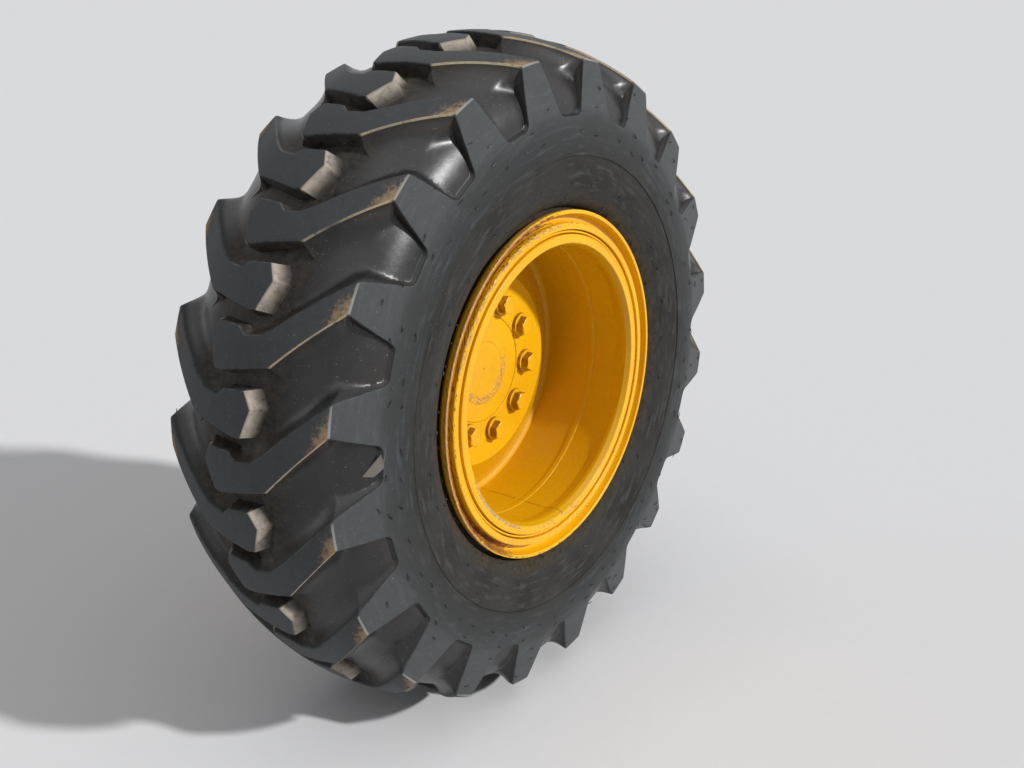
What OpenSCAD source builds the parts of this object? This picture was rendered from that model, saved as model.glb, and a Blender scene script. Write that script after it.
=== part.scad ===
// Drive wheel of a motor grader's tandem axle, on the spindle housing that carries it.
// Origin: middle of the housing's bolting face. The wheel turns about Y and its outer side faces -Y.

/* [Tyre] */
// Distance from the housing's bolting face to the middle plane of the tyre
plane_out = 245; // [235:1:280]
// Radius of the tread over the lugs at the middle plane
crown_r = 685; // [675:1:700]
// Radius of the lug tops' curve across the tread
crown_arc_r = 427; // [380:1:520]
// Depth of the tread at the middle plane
tread_depth = 28; // [20:1:36]
// Distance from the middle plane to the lugs' shoulder edge
shoulder_w = 195; // [185:1:205]
// Distance from the middle plane to the widest point of the sidewall
section_w = 222.5; // [220:0.5:228]
// Radius of the widest point of the sidewall
section_r = 500; // [485:1:515]
// Distance from the middle plane to the widest point of the grooves' floor
floor_w = 210; // [205:1:214]
// Roundness of the grooves' floor from the middle plane to the sidewall
floor_power = 2.5; // [2.2:0.1:2.8]
// Thickness of the casing under the tread
crown_wall = 30; // [24:1:36]
// Thickness of the sidewall
side_wall = 22; // [16:1:28]
// Width of the bead, from toe to heel
bead_w = 42; // [36:1:50]
// Height of the bead's inner face over its seat
bead_h = 24; // [20:1:30]
// Gap between the sidewall and the flanges' lips
lip_gap = 3; // [1:0.5:6]
// Gap between the bead and its seat
bead_gap = 0.3; // [0.1:0.1:0.8]

/* [Lugs] */
// Number of lugs on each side of the tread
lug_count = 20; // [16:1:22]
// Turn of the outer side's first lug from the horizontal, in degrees
lug_turn = 10.6; // [0:0.1:18]
// Distance from the middle plane to the foot of a lug on the sidewall
foot_w = 218; // [214:1:220]
// Height of the foot of a lug over the widest point of the sidewall
foot_rise = 34; // [28:1:44]
// Width that each side wall of a lug gains down to its root, in degrees of the wheel
lug_draft = 0.9; // [0.3:0.1:1.2]
// Length that the slope at a lug's nose gains down to its root
nose_slope = 20; // [8:1:26]
// Depth of a lug's root below the surface of the casing
lug_root = 5; // [3:1:8]

/* [Rim] */
// Radius of the bead seats at the flanges
seat_r = 317.5; // [315:0.5:320]
// Distance between the flanges' faces against the tyre
rim_w = 355.6; // [352:0.1:360]
// Height of the flanges over the bead seats
flange_h = 38.1; // [34:0.1:42]
// Distance from a flange's face against the tyre to its rolled lip's end
flange_out = 27; // [24:1:32]
// Thickness of the flange rings
flange_t = 8; // [6:0.5:9]
// Height of a flange's rolled lip
lip_h = 17; // [14:0.5:18]
// Thickness of the barrel's wall
barrel_t = 11; // [9:0.5:12]
// Height of the bead seats over the lip outside the lock ring's groove
gutter_drop = 10.5; // [10:0.5:11]
// Thickness of the rim base at that lip
gutter_t = 18; // [16:0.5:20]
// Width of the lip outside the lock ring's groove
gutter_w = 16; // [12:1:18]
// Width of the lock ring's groove
groove_w = 14; // [10:1:16]
// Depth of the lock ring's groove
groove_d = 7; // [5:0.5:8]
// Length of the loose bead seat band
band_w = 102; // [80:1:120]
// Length of the band's collar outside the flange ring
collar_w = 12; // [8:1:14]
// Height of the band's collar over the bead seats
collar_h = 12.5; // [10.5:0.5:15]
// Height of the lock ring's wedge over the lip
wedge_h = 9; // [7:0.5:10]
// Distance from the flanges' rolled lips in to the rim base's outer end
base_inset = 3; // [1:0.5:5]
// Height of the fixed ring behind the inner flange
back_ring_h = 6; // [4:0.5:8]
// Length of the rim base's slope from its bead seat down to the barrel
seat_slope = 20; // [14:1:26]
// Length of the rim base's slope from the barrel up to the loose band
step_len = 14; // [10:1:20]
// Distance from that slope to the loose band
step_gap = 6; // [4:1:10]
// Gap between rim pieces that slide over one another
rim_gap = 0.3; // [0.1:0.05:0.5]

/* [Disc] */
// Distance from the middle plane of the tyre out to the disc's flat face
disc_out = 17; // [8:1:30]
// Thickness of the disc
disc_t = 20; // [14:1:24]
// Radius of the disc's flat middle
disc_flat_r = 207; // [200:1:215]
// Distance that the disc's rim stands inboard of its flat face
disc_dish = 43; // [30:1:55]
// Leg of the weld beads between disc and barrel
weld_leg = 12; // [8:1:16]
// Radius of the disc's middle hole on the spindle's pilot
pilot_r = 114; // [108:1:118]
// Gap between the disc's middle hole and the pilot
pilot_gap = 0.2; // [0.1:0.05:0.5]

/* [Wheel bolts] */
// Number of wheel bolts
bolt_count = 10; // [8:1:12]
// Diameter of the wheel bolts' circle
bolt_pcd = 285.75; // [280:0.25:292]
// Turn of the first wheel bolt from the horizontal, in degrees
bolt_turn = -6; // [-18:1:18]
// Diameter of a wheel bolt's shank
bolt_d = 24; // [20:1:26]
// Width of a bolt's head across flats
bolt_flats = 36; // [32:1:38]
// Height of a bolt's head
bolt_head = 17; // [14:1:20]
// Diameter of a wheel bolt's washer
washer_d = 51; // [46:1:54]
// Thickness of a wheel bolt's washer
washer_t = 8; // [5:1:10]
// Gap around a bolt's shank in the disc and washer
bolt_gap = 1; // [0.5:0.1:1.5]

/* [Spindle] */
// Radius of the spindle's flange behind the disc
hub_r = 178; // [172:1:185]
// Thickness of the spindle's flange
hub_t = 30; // [26:1:36]
// Radius of the journal that runs in the housing
journal_r = 60; // [52:1:66]
// Radial running gap of the journal
journal_gap = 0.05; // [0.02:0.01:0.1]
// Radius of the spindle's neck between flange and journal
neck_r = 78; // [72:1:82]
// Length of the splined end inboard of the bolting face
spline_len = 110; // [80:5:140]
// Radius over the splines
spline_r = 46; // [40:1:50]
// Number of splines
spline_count = 24; // [16:2:30]
// Radius of the raised ring worn bare on the pilot's face
boss_r = 67; // [55:1:75]
// Height of the raised ring on the pilot's face
boss_h = 2; // [1:0.5:4]
// Width of the raised ring on the pilot's face
boss_w = 8; // [6:1:12]
// Depth of the pilot's face below the disc's face
pilot_inset = 1; // [0.5:0.5:2]
// Height of the splines
spline_h = 3; // [2:0.5:4]
// Width of a spline
spline_w = 5; // [3:0.5:6]

/* [Housing] */
// Radius of the housing's bolting flange
mount_r = 215; // [205:1:230]
// Thickness of the housing's bolting flange
mount_t = 28; // [22:1:34]
// Diameter of the bolting flange's hole circle
mount_pcd = 380; // [370:1:390]
// Number of holes in the bolting flange
mount_count = 12; // [8:1:16]
// Diameter of the holes in the bolting flange
mount_hole_d = 22; // [18:1:24]
// Radius of the spigot that centres the housing
spigot_r = 150; // [140:1:155]
// Length of the spigot
spigot_len = 12; // [8:1:20]
// Outer radius of the housing's barrel at its outer end
barrel_end_r = 118; // [112:1:124]
// Outer radius of the housing's barrel at its flange
barrel_root_r = 150; // [140:1:160]
// Running gap between the spindle's flange and the cover's bolt heads
face_gap = 6; // [5:0.5:10]
// Number of ribs on the housing
rib_count = 6; // [4:1:8]
// Thickness of a rib
rib_t = 16; // [12:1:20]
// Distance from the bolting flange's edge in to the ribs' feet
rib_foot = 50; // [46:1:60]
// Distance from the housing's outer end to the ribs' ends
rib_setback = 60; // [50:1:80]
// Height of the ribs' ends over the barrel
rib_end_h = 4; // [2:1:8]
// Length of the housing's straight outer end
straight_end = 40; // [34:1:50]

/* [Seal cover] */
// Thickness of the seal cover
cover_t = 14; // [10:1:18]
// Number of the seal cover's bolts
cover_bolts_n = 8; // [6:1:10]
// Diameter of the seal cover's bolt circle
cover_pcd = 200; // [196:1:204]
// Diameter of the seal cover's bolts
cover_bolt_d = 12; // [8:1:12]
// Width across flats of the seal cover's bolts
cover_flats = 18; // [13:1:19]
// Height of the seal cover's bolt heads
cover_head = 7.5; // [5:0.5:9]
// Depth of the seal cover's bolts in the housing
cover_grip = 20; // [16:1:26]
// Chamfer of the seal cover's outer edge
cover_chamfer = 3; // [1:0.5:5]
// Width of the shaft seal in the cover
seal_w = 10; // [8:0.5:14]

/* [Valve] */
// Angle of the valve around the wheel
valve_turn = 150; // [0:5:355]
// Distance of the valve from the middle plane of the tyre
valve_out = 70; // [50:1:100]
// Length of the valve's foot under the barrel
valve_foot = 14; // [10:1:20]
// Diameter of the valve's tube
valve_d = 10; // [8:0.5:12]
// Length of the valve's tube toward the outside
valve_len = 70; // [50:1:90]
// Width across flats of the valve's nut
valve_flats = 18; // [16:1:22]
// Height of the valve's nut
valve_nut_h = 8; // [6:0.5:10]
// Length of the valve's cap
valve_cap_len = 16; // [12:1:20]

/* [Hidden] */
$fn = 128;
overlap = 0.5;
touch = 0.01;
// How far blind holes run past the bolts in them, and joined shapes into one another
run_out = 4;
pitch = 360 / lug_count;

// Radii and places that follow from the sizes above
casing_sides = 2 * lug_count;
bead_r = (seat_r + bead_gap) / cos(180 / casing_sides);
floor_r = crown_r - tread_depth;
foot_r = section_r + foot_rise;
floor_start_r = foot_r + run_out;
flange_face = rim_w / 2;
lip_end = flange_face + flange_out;
flange_r = seat_r + flange_h;
base_end = lip_end - base_inset;
groove_out = base_end - gutter_w;
groove_in = groove_out - groove_w;
gutter_r = seat_r - gutter_drop;
barrel_r = gutter_r - gutter_t;
collar_r = seat_r + collar_h;
band_in_r = gutter_r + rim_gap;
wedge_r = band_in_r + wedge_h;
lip_start_r = flange_r - lip_h;
band_in = base_end - band_w;
barrel_out_r = barrel_r + barrel_t;
taper = tan(5);
hub_face = disc_out - disc_t;
hub_back = hub_face - hub_t;
cover_out = plane_out + hub_back - face_gap - cover_head;
housing_end = cover_out - cover_t;
neck_len = cover_t + cover_head + face_gap;
pilot_face = disc_out - pilot_inset;
spline_root_r = spline_r - spline_h;
shank_len = washer_t + disc_t + hub_t - run_out / 2;

// Rows of a lug from its foot to its nose:
// [out from the middle plane, trailing edge in degrees, leading edge in degrees, shift of the root]
LUG_ROWS = [
    [shoulder_w, -4.8, 0, -0.75],
    [84, 4, 9.7, 0],
    [60, 5.4, 10, 0],
    [-40, 4.6, 11.2, -0.4],
    [-57, 6.6, 8.8, -1]];
// Edges of a lug's foot on the sidewall, in degrees
LUG_FOOT = [-8.2, 2.8];

// Radius of the lug tops at a distance from the middle plane
function top_r(w) = crown_r - crown_arc_r + sqrt(pow(crown_arc_r, 2) - pow(w, 2));

// Radius of a casing curve with half width w0, radius r1 at the middle plane and r0 where widest
function casing_r(w, w0, r0, r1) =
    r0 + (r1 - r0) * pow(1 - pow(min(1, abs(w) / w0), floor_power), 1 / floor_power);

// Points of a casing curve from the radius start_r in to the middle plane
function casing_curve(w0, r0, r1, start_r, steps) =
    let (first = asin(pow((start_r - r0) / (r1 - r0), floor_power / 2)))
    [for (i = [0:steps])
        let (a = first + (90 - first) * i / steps)
        [w0 * pow(cos(a), 2 / floor_power), r0 + (r1 - r0) * pow(sin(a), 2 / floor_power)]];

// Points of a quarter ellipse from [w1, r1] at its foot out to [w0, r0], its widest place
function foot_curve(w0, r0, w1, r1, steps) = [for (i = [0:steps - 1])
    let (a = 90 * i / steps)
    [w1 + (w0 - w1) * sin(a), r0 + (r1 - r0) * cos(a)]];

// One side of the tyre's section as [radius, out] points
function flip(points) = [for (p = points) [p[1], p[0]]];
function reversed(points) = [for (i = [len(points) - 1:-1:0]) points[i]];
function other_side(points) = [for (p = reversed(points)) [p[0], -p[1]]];

// Point of the wheel at a radius, an angle and a distance out from the middle plane
function wheel_point(r, a, w) = [r * cos(a), r * sin(a), plane_out + w];

// Places its children on the wheel's axis, with Z pointing out from the bolting face
module on_axis() rotate([90, 0, 0]) children();

// Ring turned from a section of [radius, out] points, out being measured from the tyre's middle plane
module turned(section, sides = $fn)
    on_axis() translate([0, 0, plane_out]) rotate_extrude($fn = sides) polygon(section);

// Puts copies of its children on a circle about the wheel's axis
module around(count, r, turn = 0)
    on_axis() for (i = [0:count - 1]) rotate([0, 0, turn + i * 360 / count]) translate([r, 0, 0]) children();

module hex_bar(flats, h) cylinder(h = h, d = flats / cos(30), $fn = 6);

// The casing: a closed ring with the air space left out
module casing() {
    half_out = flip(concat(
        [[flange_face - bead_w, bead_r - bead_w * taper], [flange_face - rim_gap, bead_r]],
        foot_curve(section_w, section_r, flange_face - rim_gap, flange_r + lip_gap, 3),
        [[section_w, section_r], [foot_w, foot_r]],
        casing_curve(floor_w, section_r, floor_r, floor_start_r, 4)));
    half_in = flip(concat(
        [[flange_face - bead_w, bead_r - bead_w * taper]],
        foot_curve(section_w - side_wall, section_r, flange_face - bead_w, seat_r + bead_h, 1),
        casing_curve(section_w - side_wall, section_r, floor_r - crown_wall, section_r, 2)));
    turned(
        concat(half_out, other_side(half_out), reversed(other_side(half_in)), reversed(half_in)),
        casing_sides);
}

// The four corners of one row of a lug: its two top edges, then its two root edges in the casing
function lug_row(row) =
    let (root_w = row[0] + row[3] * nose_slope,
        root_r = casing_r(root_w, floor_w, section_r, floor_r) - lug_root)
    [wheel_point(top_r(row[0]), row[1], row[0]), wheel_point(top_r(row[0]), row[2], row[0]),
        wheel_point(root_r, row[2] + lug_draft, root_w), wheel_point(root_r, row[1] - lug_draft, root_w)];

// The foot's corners, sunk in the sidewall
function lug_foot() = [
    for (edge = LUG_FOOT) wheel_point(foot_r - lug_root, edge, foot_w - 3 * overlap),
    for (edge = LUG_FOOT) wheel_point(foot_r, edge, foot_w - 4 * lug_root)];

// One lug: solid blocks between neighbouring rows, on the outer side (1) or the inner side (-1)
module lug(side, turn) {
    rows = concat([lug_foot()], [for (row = LUG_ROWS) lug_row(row)]);
    on_axis() rotate([0, 0, turn]) translate([0, 0, side < 0 ? 2 * plane_out : 0])
        mirror([0, 0, side < 0 ? 1 : 0])
            for (i = [0:len(rows) - 2])
                hull() polyhedron(concat(rows[i], rows[i + 1]), [[0, 1, 2, 3], [4, 5, 6, 7]]);
}

module tyre() color([0.16, 0.17, 0.19]) {
    casing();
    for (i = [0:lug_count - 1]) {
        lug(1, lug_turn + i * pitch);
        lug(-1, lug_turn + (i + 0.5) * pitch);
    }
}

// Barrel with its inner bead seat and, at the outer end, the lock ring's groove and lip
module rim_base() color([0.93, 0.68, 0.10]) difference() {
    turned([
        [barrel_r, -lip_end], [seat_r + back_ring_h, -lip_end],
        [seat_r + back_ring_h, -flange_face - flange_t - rim_gap],
        [seat_r, -flange_face - flange_t - rim_gap], [seat_r, -flange_face],
        [seat_r - bead_w * taper, bead_w - flange_face],
        [barrel_out_r, bead_w + seat_slope - flange_face],
        [barrel_out_r, band_in - step_gap - step_len], [gutter_r, band_in - step_gap],
        [gutter_r, groove_in],
        [gutter_r - groove_d, groove_in], [gutter_r - groove_d, groove_out], [gutter_r, groove_out],
        [gutter_r, base_end], [barrel_r, base_end]]);
    rotate([0, -valve_turn, 0]) translate([0, -plane_out - valve_out, 0])
        translate([barrel_r - overlap, 0, 0]) rotate([0, 90, 0])
            cylinder(h = barrel_t + 2 * overlap, d = valve_d + 2 * rim_gap, $fn = 32);
}

// Loose tapered seat under the outer bead, with the collar that holds the flange ring
module bead_seat_band() color([0.93, 0.68, 0.10])
    turned([
        [band_in_r, band_in], [seat_r - (flange_face - band_in) * taper, band_in], [seat_r, flange_face],
        [seat_r, base_end - collar_w], [collar_r, base_end - collar_w], [collar_r, base_end],
        [wedge_r, base_end], [wedge_r, groove_out], [band_in_r, groove_in]]);

// Split ring wedged between the groove and the band
module lock_ring() color([0.55, 0.38, 0.08])
    turned([
        [gutter_r - groove_d + rim_gap, groove_in + rim_gap], [band_in_r - rim_gap, groove_in + rim_gap],
        [wedge_r - rim_gap, groove_out - rim_gap / 2],
        [gutter_r - groove_d + rim_gap, groove_out - rim_gap]]);

// Section of a flange ring: foot on the seat, wall against the bead, lip rolled outward
function flange_section() = concat(
    [[seat_r + rim_gap, flange_face], [lip_start_r, flange_face]],
    [for (a = [20:20:80]) [lip_start_r + lip_h * sin(a), lip_end - flange_out * cos(a)]],
    [[flange_r, lip_end], [flange_r - flange_t, lip_end]],
    [for (a = [70:-20:10]) [lip_start_r + (lip_h - flange_t) * sin(a),
        lip_end - (flange_out - flange_t) * cos(a)]],
    [[lip_start_r, flange_face + flange_t], [seat_r + rim_gap, flange_face + flange_t]]);

module outer_flange() color([0.93, 0.68, 0.10]) turned(flange_section());

module inner_flange() color([0.93, 0.68, 0.10]) turned(other_side(flange_section()));

// Pressed disc: flat middle with the bolt holes, dished rim welded into the barrel
module wheel_disc() color([0.95, 0.70, 0.10]) difference() {
    turned([
        [pilot_r + pilot_gap, hub_face], [disc_flat_r, hub_face],
        [barrel_r - touch, hub_face - disc_dish], [barrel_r - touch, disc_out - disc_dish],
        [disc_flat_r, disc_out], [pilot_r + pilot_gap, disc_out]]);
    around(bolt_count, bolt_pcd / 2, bolt_turn)
        translate([0, 0, plane_out + hub_face - 1])
            cylinder(h = disc_t + 2, d = bolt_d + 2 * bolt_gap, $fn = 48);
}

// Fillet welds all round the disc's rim, one outside and one inside
module disc_welds() color([0.93, 0.68, 0.10]) {
    dish_slope = disc_dish / (barrel_r - disc_flat_r);
    for (face = [[disc_out, 1], [hub_face, -1]])
        turned([
            [barrel_r - touch, face[0] - disc_dish + face[1] * touch],
            [barrel_r - touch, face[0] - disc_dish + face[1] * weld_leg],
            [barrel_r - weld_leg, face[0] - disc_dish + weld_leg * dish_slope + face[1] * touch]]);
}

// Spindle: pilot and flange behind the disc, neck, journal and splined end
module wheel_spindle() color([0.95, 0.70, 0.10]) {
    difference() {
        turned([
            [0, pilot_face], [boss_r - boss_w, pilot_face], [boss_r - boss_w, pilot_face + boss_h],
            [boss_r, pilot_face + boss_h], [boss_r, pilot_face], [pilot_r, pilot_face],
            [pilot_r, hub_face], [hub_r, hub_face], [hub_r, hub_back],
            [neck_r + 2 * run_out, hub_back], [neck_r, hub_back - run_out], [neck_r, hub_back - neck_len],
            [journal_r, hub_back - neck_len], [journal_r, -plane_out - spigot_len],
            [spline_root_r, -plane_out - spigot_len], [spline_root_r, -plane_out - spline_len],
            [0, -plane_out - spline_len]]);
        around(bolt_count, bolt_pcd / 2, bolt_turn)
            translate([0, 0, plane_out + hub_back - 1])
                cylinder(h = hub_t + 2, d = bolt_d, $fn = 48);
    }
    on_axis() for (i = [0:spline_count - 1])
        rotate([0, 0, i * 360 / spline_count]) translate([0, 0, -spline_len])
            translate([spline_root_r - run_out / 2, -spline_w / 2, 0])
                cube([spline_h + run_out / 2, spline_w, spline_len - spigot_len]);
}

// Hexagon bolts: washer face, head and shank screwed into the spindle's flange
module wheel_bolts() color([0.90, 0.62, 0.10])
    around(bolt_count, bolt_pcd / 2, bolt_turn) translate([0, 0, plane_out + disc_out + washer_t]) {
        hex_bar(bolt_flats, bolt_head);
        translate([0, 0, -shank_len]) cylinder(h = shank_len + 1, d = bolt_d, $fn = 48);
    }

module bolt_washers() color([0.90, 0.62, 0.10])
    around(bolt_count, bolt_pcd / 2, bolt_turn) translate([0, 0, plane_out + disc_out])
        difference() {
            cylinder(h = washer_t, d = washer_d, $fn = 64);
            translate([0, 0, -1]) cylinder(h = washer_t + 2, d = bolt_d + 2 * bolt_gap, $fn = 48);
        }

// Valve: tube through the barrel, foot nut under it and stem along the barrel toward the outside
module valve_stem() color([0.75, 0.60, 0.30])
    rotate([0, -valve_turn, 0]) translate([0, -plane_out - valve_out, 0]) {
        translate([barrel_r - valve_foot, 0, 0]) rotate([0, 90, 0])
            cylinder(h = valve_foot + barrel_t + run_out, d = valve_d, $fn = 32);
        translate([barrel_r - valve_nut_h, 0, 0]) rotate([0, 90, 0])
            hex_bar(valve_flats, valve_nut_h - rim_gap);
        translate([barrel_r - valve_foot, 0, 0]) rotate([90, 0, 0])
            cylinder(h = valve_len, d = valve_d, $fn = 32);
        translate([barrel_r - valve_foot, 0, 0]) sphere(d = valve_d + 2, $fn = 32);
    }

module valve_cap() color([0.12, 0.12, 0.12])
    rotate([0, -valve_turn, 0]) translate([barrel_r - valve_foot, -plane_out - valve_out - valve_len, 0])
        rotate([90, 0, 0]) cylinder(h = valve_cap_len, d = valve_d + 3, $fn = 32);

// Cast housing: bolting flange with its holes and spigot, ribbed barrel, bore for the journal
module spindle_housing() color([0.92, 0.66, 0.10]) {
    rib_end = housing_end - rib_setback;
    rib_root_r = barrel_end_r - 5 * run_out;
    difference() {
        union() {
            on_axis() rotate_extrude() polygon([
                [journal_r + journal_gap, -spigot_len], [spigot_r, -spigot_len], [spigot_r, 0],
                [mount_r, 0], [mount_r, mount_t], [barrel_root_r, mount_t],
                [barrel_end_r, housing_end - straight_end], [barrel_end_r, housing_end],
                [journal_r + journal_gap, housing_end]]);
            around(rib_count, 0, 15) rotate([90, 0, 0]) translate([0, 0, -rib_t / 2])
                linear_extrude(rib_t) polygon([
                    [rib_root_r, mount_t - overlap], [mount_r - rib_foot, mount_t - overlap],
                    [barrel_end_r + rib_end_h, rib_end], [rib_root_r, rib_end]]);
        }
        around(mount_count, mount_pcd / 2) translate([0, 0, -1])
            cylinder(h = mount_t + 2, d = mount_hole_d, $fn = 48);
        around(cover_bolts_n, cover_pcd / 2) translate([0, 0, housing_end - cover_grip - run_out])
            cylinder(h = cover_grip + 2 * run_out, d = cover_bolt_d, $fn = 32);
    }
}

// Ring bolted on the housing's outer end around the spindle's neck
module seal_cover() color([0.92, 0.66, 0.10]) difference() {
    on_axis() rotate_extrude() polygon([
        [neck_r + seal_w, housing_end], [barrel_end_r, housing_end],
        [barrel_end_r, cover_out - cover_chamfer],
        [barrel_end_r - cover_chamfer, cover_out], [neck_r + seal_w, cover_out]]);
    around(cover_bolts_n, cover_pcd / 2) translate([0, 0, housing_end - 1])
        cylinder(h = cover_t + 2, d = cover_bolt_d + 1, $fn = 32);
}

module shaft_seal() color([0.10, 0.10, 0.10])
    on_axis() rotate_extrude() polygon([
        [neck_r + journal_gap, housing_end + 1], [neck_r + seal_w - touch, housing_end + 1],
        [neck_r + seal_w - touch, cover_out - 1], [neck_r + journal_gap, cover_out - 1]]);

module cover_bolts() color([0.60, 0.45, 0.15])
    around(cover_bolts_n, cover_pcd / 2) translate([0, 0, housing_end - cover_grip]) {
        cylinder(h = cover_grip + cover_t + 1, d = cover_bolt_d, $fn = 32);
        translate([0, 0, cover_grip + cover_t]) hex_bar(cover_flats, cover_head);
    }

tyre();
rim_base();
bead_seat_band();
lock_ring();
outer_flange();
inner_flange();
wheel_disc();
disc_welds();
wheel_spindle();
wheel_bolts();
bolt_washers();
valve_stem();
valve_cap();
spindle_housing();
seal_cover();
shaft_seal();
cover_bolts();
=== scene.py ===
"""Looks of a motor grader's drive wheel on its spindle housing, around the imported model."""
import math

import bmesh
import bpy
import numpy as np
from mathutils import Matrix, Vector
from mathutils.bvhtree import BVHTree
from mathutils.geometry import delaunay_2d_cdt


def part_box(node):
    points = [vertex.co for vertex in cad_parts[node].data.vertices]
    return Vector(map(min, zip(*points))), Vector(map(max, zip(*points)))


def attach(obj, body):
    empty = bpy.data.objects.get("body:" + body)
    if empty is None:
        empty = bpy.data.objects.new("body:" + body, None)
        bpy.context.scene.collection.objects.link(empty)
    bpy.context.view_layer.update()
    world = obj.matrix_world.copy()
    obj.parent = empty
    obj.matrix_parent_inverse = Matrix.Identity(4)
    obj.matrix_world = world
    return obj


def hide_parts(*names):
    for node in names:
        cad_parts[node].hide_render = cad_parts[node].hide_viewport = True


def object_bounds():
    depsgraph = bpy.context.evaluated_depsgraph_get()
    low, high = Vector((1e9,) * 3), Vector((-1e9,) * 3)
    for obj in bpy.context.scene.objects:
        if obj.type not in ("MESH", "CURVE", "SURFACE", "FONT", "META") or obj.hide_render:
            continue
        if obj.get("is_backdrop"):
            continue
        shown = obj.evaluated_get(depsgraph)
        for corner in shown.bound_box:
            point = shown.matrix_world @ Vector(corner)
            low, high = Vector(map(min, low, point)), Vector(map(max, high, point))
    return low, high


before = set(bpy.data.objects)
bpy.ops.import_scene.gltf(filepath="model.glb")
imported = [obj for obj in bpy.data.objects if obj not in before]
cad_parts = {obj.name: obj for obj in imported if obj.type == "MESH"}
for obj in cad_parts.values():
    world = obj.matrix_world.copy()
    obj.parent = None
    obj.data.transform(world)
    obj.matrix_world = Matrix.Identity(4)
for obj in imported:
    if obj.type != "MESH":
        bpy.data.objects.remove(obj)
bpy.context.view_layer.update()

MM = 0.001
WELD = 0.0001   # points nearer than this are joined, in metres
WHEEL = "wheel"   # the body that every new piece rides on

# The wheel's places come from the frame: the tyre's middle plane and the flanges' outer end
TYRE_LOW, TYRE_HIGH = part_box("tyre")
PLANE_OUT = -0.5 * (TYRE_LOW.y + TYRE_HIGH.y) / MM
LIP_END = -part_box("outer_flange")[0].y / MM - PLANE_OUT

# Tyre sizes in mm: w is the distance out from the middle plane, r the radius
CROWN_R, CROWN_ARC = 685.0, 427.0
SHOULDER_W, SHOULDER_ROUND = 195.0, 2.5
FOOT_W, FOOT_R = 218.0, 534.0
SECTION_W, SECTION_R = 222.5, 500.0
FLOOR_W, FLOOR_R, FLOOR_POWER = 210.0, 657.0, 2.5
BEAD_SEAT_R, BEAD_FACE_W, BEAD_TOE_W, BEAD_TOP_R = 318.5, 177.5, 135.8, 358.6
LINER_W, LINER_R, LINER_BEAD_R, LINER_POWER = 200.5, 627.0, 341.5, 0.8
CROWN_STEPS, FLOOR_STEPS, FLOOR_LAST = 60, 400, 0.02   # steps of the sections, last angle of the floor's

# Lugs
LUG_COUNT = 20
LUG_TURN = 10.65
PITCH = 360.0 / LUG_COUNT
PLAN_R = 640.0    # radius at which the tread's plan is laid flat
CORNER_R = 14.0   # rounding of the corners where a groove ends in the sidewall
EDGE_ROUND = ((-2.2, 0.0), (-0.7, 0.7), (0.25, 2.2))   # distance out from a lug's top edge, drop
GROOVE_SPACING, TOP_SPACING, LINE_SPACING = 6.6, 12.0, 6.0
TURN_STEPS = 12   # steps of the mesh round the sidewall in one pitch
NO_EDGE = 120.0      # distance from a leading edge where none is near
OFF_TREAD = -100.0   # distance in from the shoulder's edge for points that aren't on the tread
ON_TOP = 0.01        # less drop than this is a lug's top
ON_NOSE = 0.5        # more drop than this is a nose's slope
FILLET = 6.0         # fillet between two walls, full where their drops add up to FULL_BELOW and where
FULL_BELOW, FULL_ABOVE = 16, 6   # both lie FULL_ABOVE over the floor

# Walls of a lug: run out from the top edge as a multiple of the groove's depth, power of the hollow,
# and the shares of the run that have lines of the mesh
WALLS = {"steep": (0.18, 1.2, (0.5, 1.0)),
         "bevel": (0.86, 1.15, (0.33, 0.66, 1.0)),
         "hollow": (1.1, 4.2, (0.08, 0.19, 0.34, 0.55)),
         "bowl": (2.3, 3.75, (0.04, 0.10, 0.18, 0.28)),
         "foot": (0.45, 2.4, (0.12, 0.3, 0.5, 0.68, 0.84, 1.0))}

# A lug's top outline: distance out from the middle plane, degrees from the shoulder's leading corner,
# and the wall along the side that goes on to the next corner
LUG = (("foot", -8.25, "bevel"), (195, -4.8, "hollow"), (84, 4.0, "hollow"), (59, 5.5, "hollow"),
       (24, 6.0, "steep"), (8, 4.9, "steep"), (-41, 4.6, "bevel"), (-56, 7.0, "bevel"),
       (-36, 11.3, "steep"), (-21, 11.5, "steep"), (84, 9.7, "bowl"), (195, 0.0, "steep"),
       ("foot", 2.85, None))

# Middle of the groove that follows a lug, from the outer side to the inner: distance out, degrees
GROOVE = (("end", 6.3), (195, 6.6), (84, 14.0), (60, 12.7), (41, 12.0), (0, 12.5), (-24, 13.2),
          (-41, 13.0), (-60, 12.0), (-84, 9.5), (-195, -2.4), ("-end", -2.7))


def placed(name, data):
    thing = bpy.data.objects.new(name, data)
    bpy.context.scene.collection.objects.link(thing)
    return thing


def piece_from(name, points, faces, material, slot, *nodes, sharp=38.0, values=None):
    """A smooth piece of the wheel from points in metres, with its finish, the CAD nodes that it
    replaces, the angle of its sharp edges and its values by point. Its slot argument is not used."""
    mesh = bpy.data.meshes.new(name)
    mesh.from_pydata(points, [], faces)
    for key, numbers in (values or {}).items():
        mesh.attributes.new(key, "FLOAT", "POINT").data.foreach_set("value", numbers.astype(np.float32))
    work = bmesh.new()
    work.from_mesh(mesh)
    bmesh.ops.remove_doubles(work, verts=work.verts, dist=WELD)
    bmesh.ops.recalc_face_normals(work, faces=work.faces)
    work.to_mesh(mesh)
    work.free()
    mesh.polygons.foreach_set("use_smooth", [True] * len(mesh.polygons))
    mesh.set_sharp_from_angle(angle=math.radians(sharp))
    mesh.materials.append(material)
    piece = placed(name, mesh)
    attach(piece, WHEEL)
    piece.modifiers.new("normals", "WEIGHTED_NORMAL").keep_sharp = True
    if nodes:
        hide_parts(*nodes)


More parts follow.
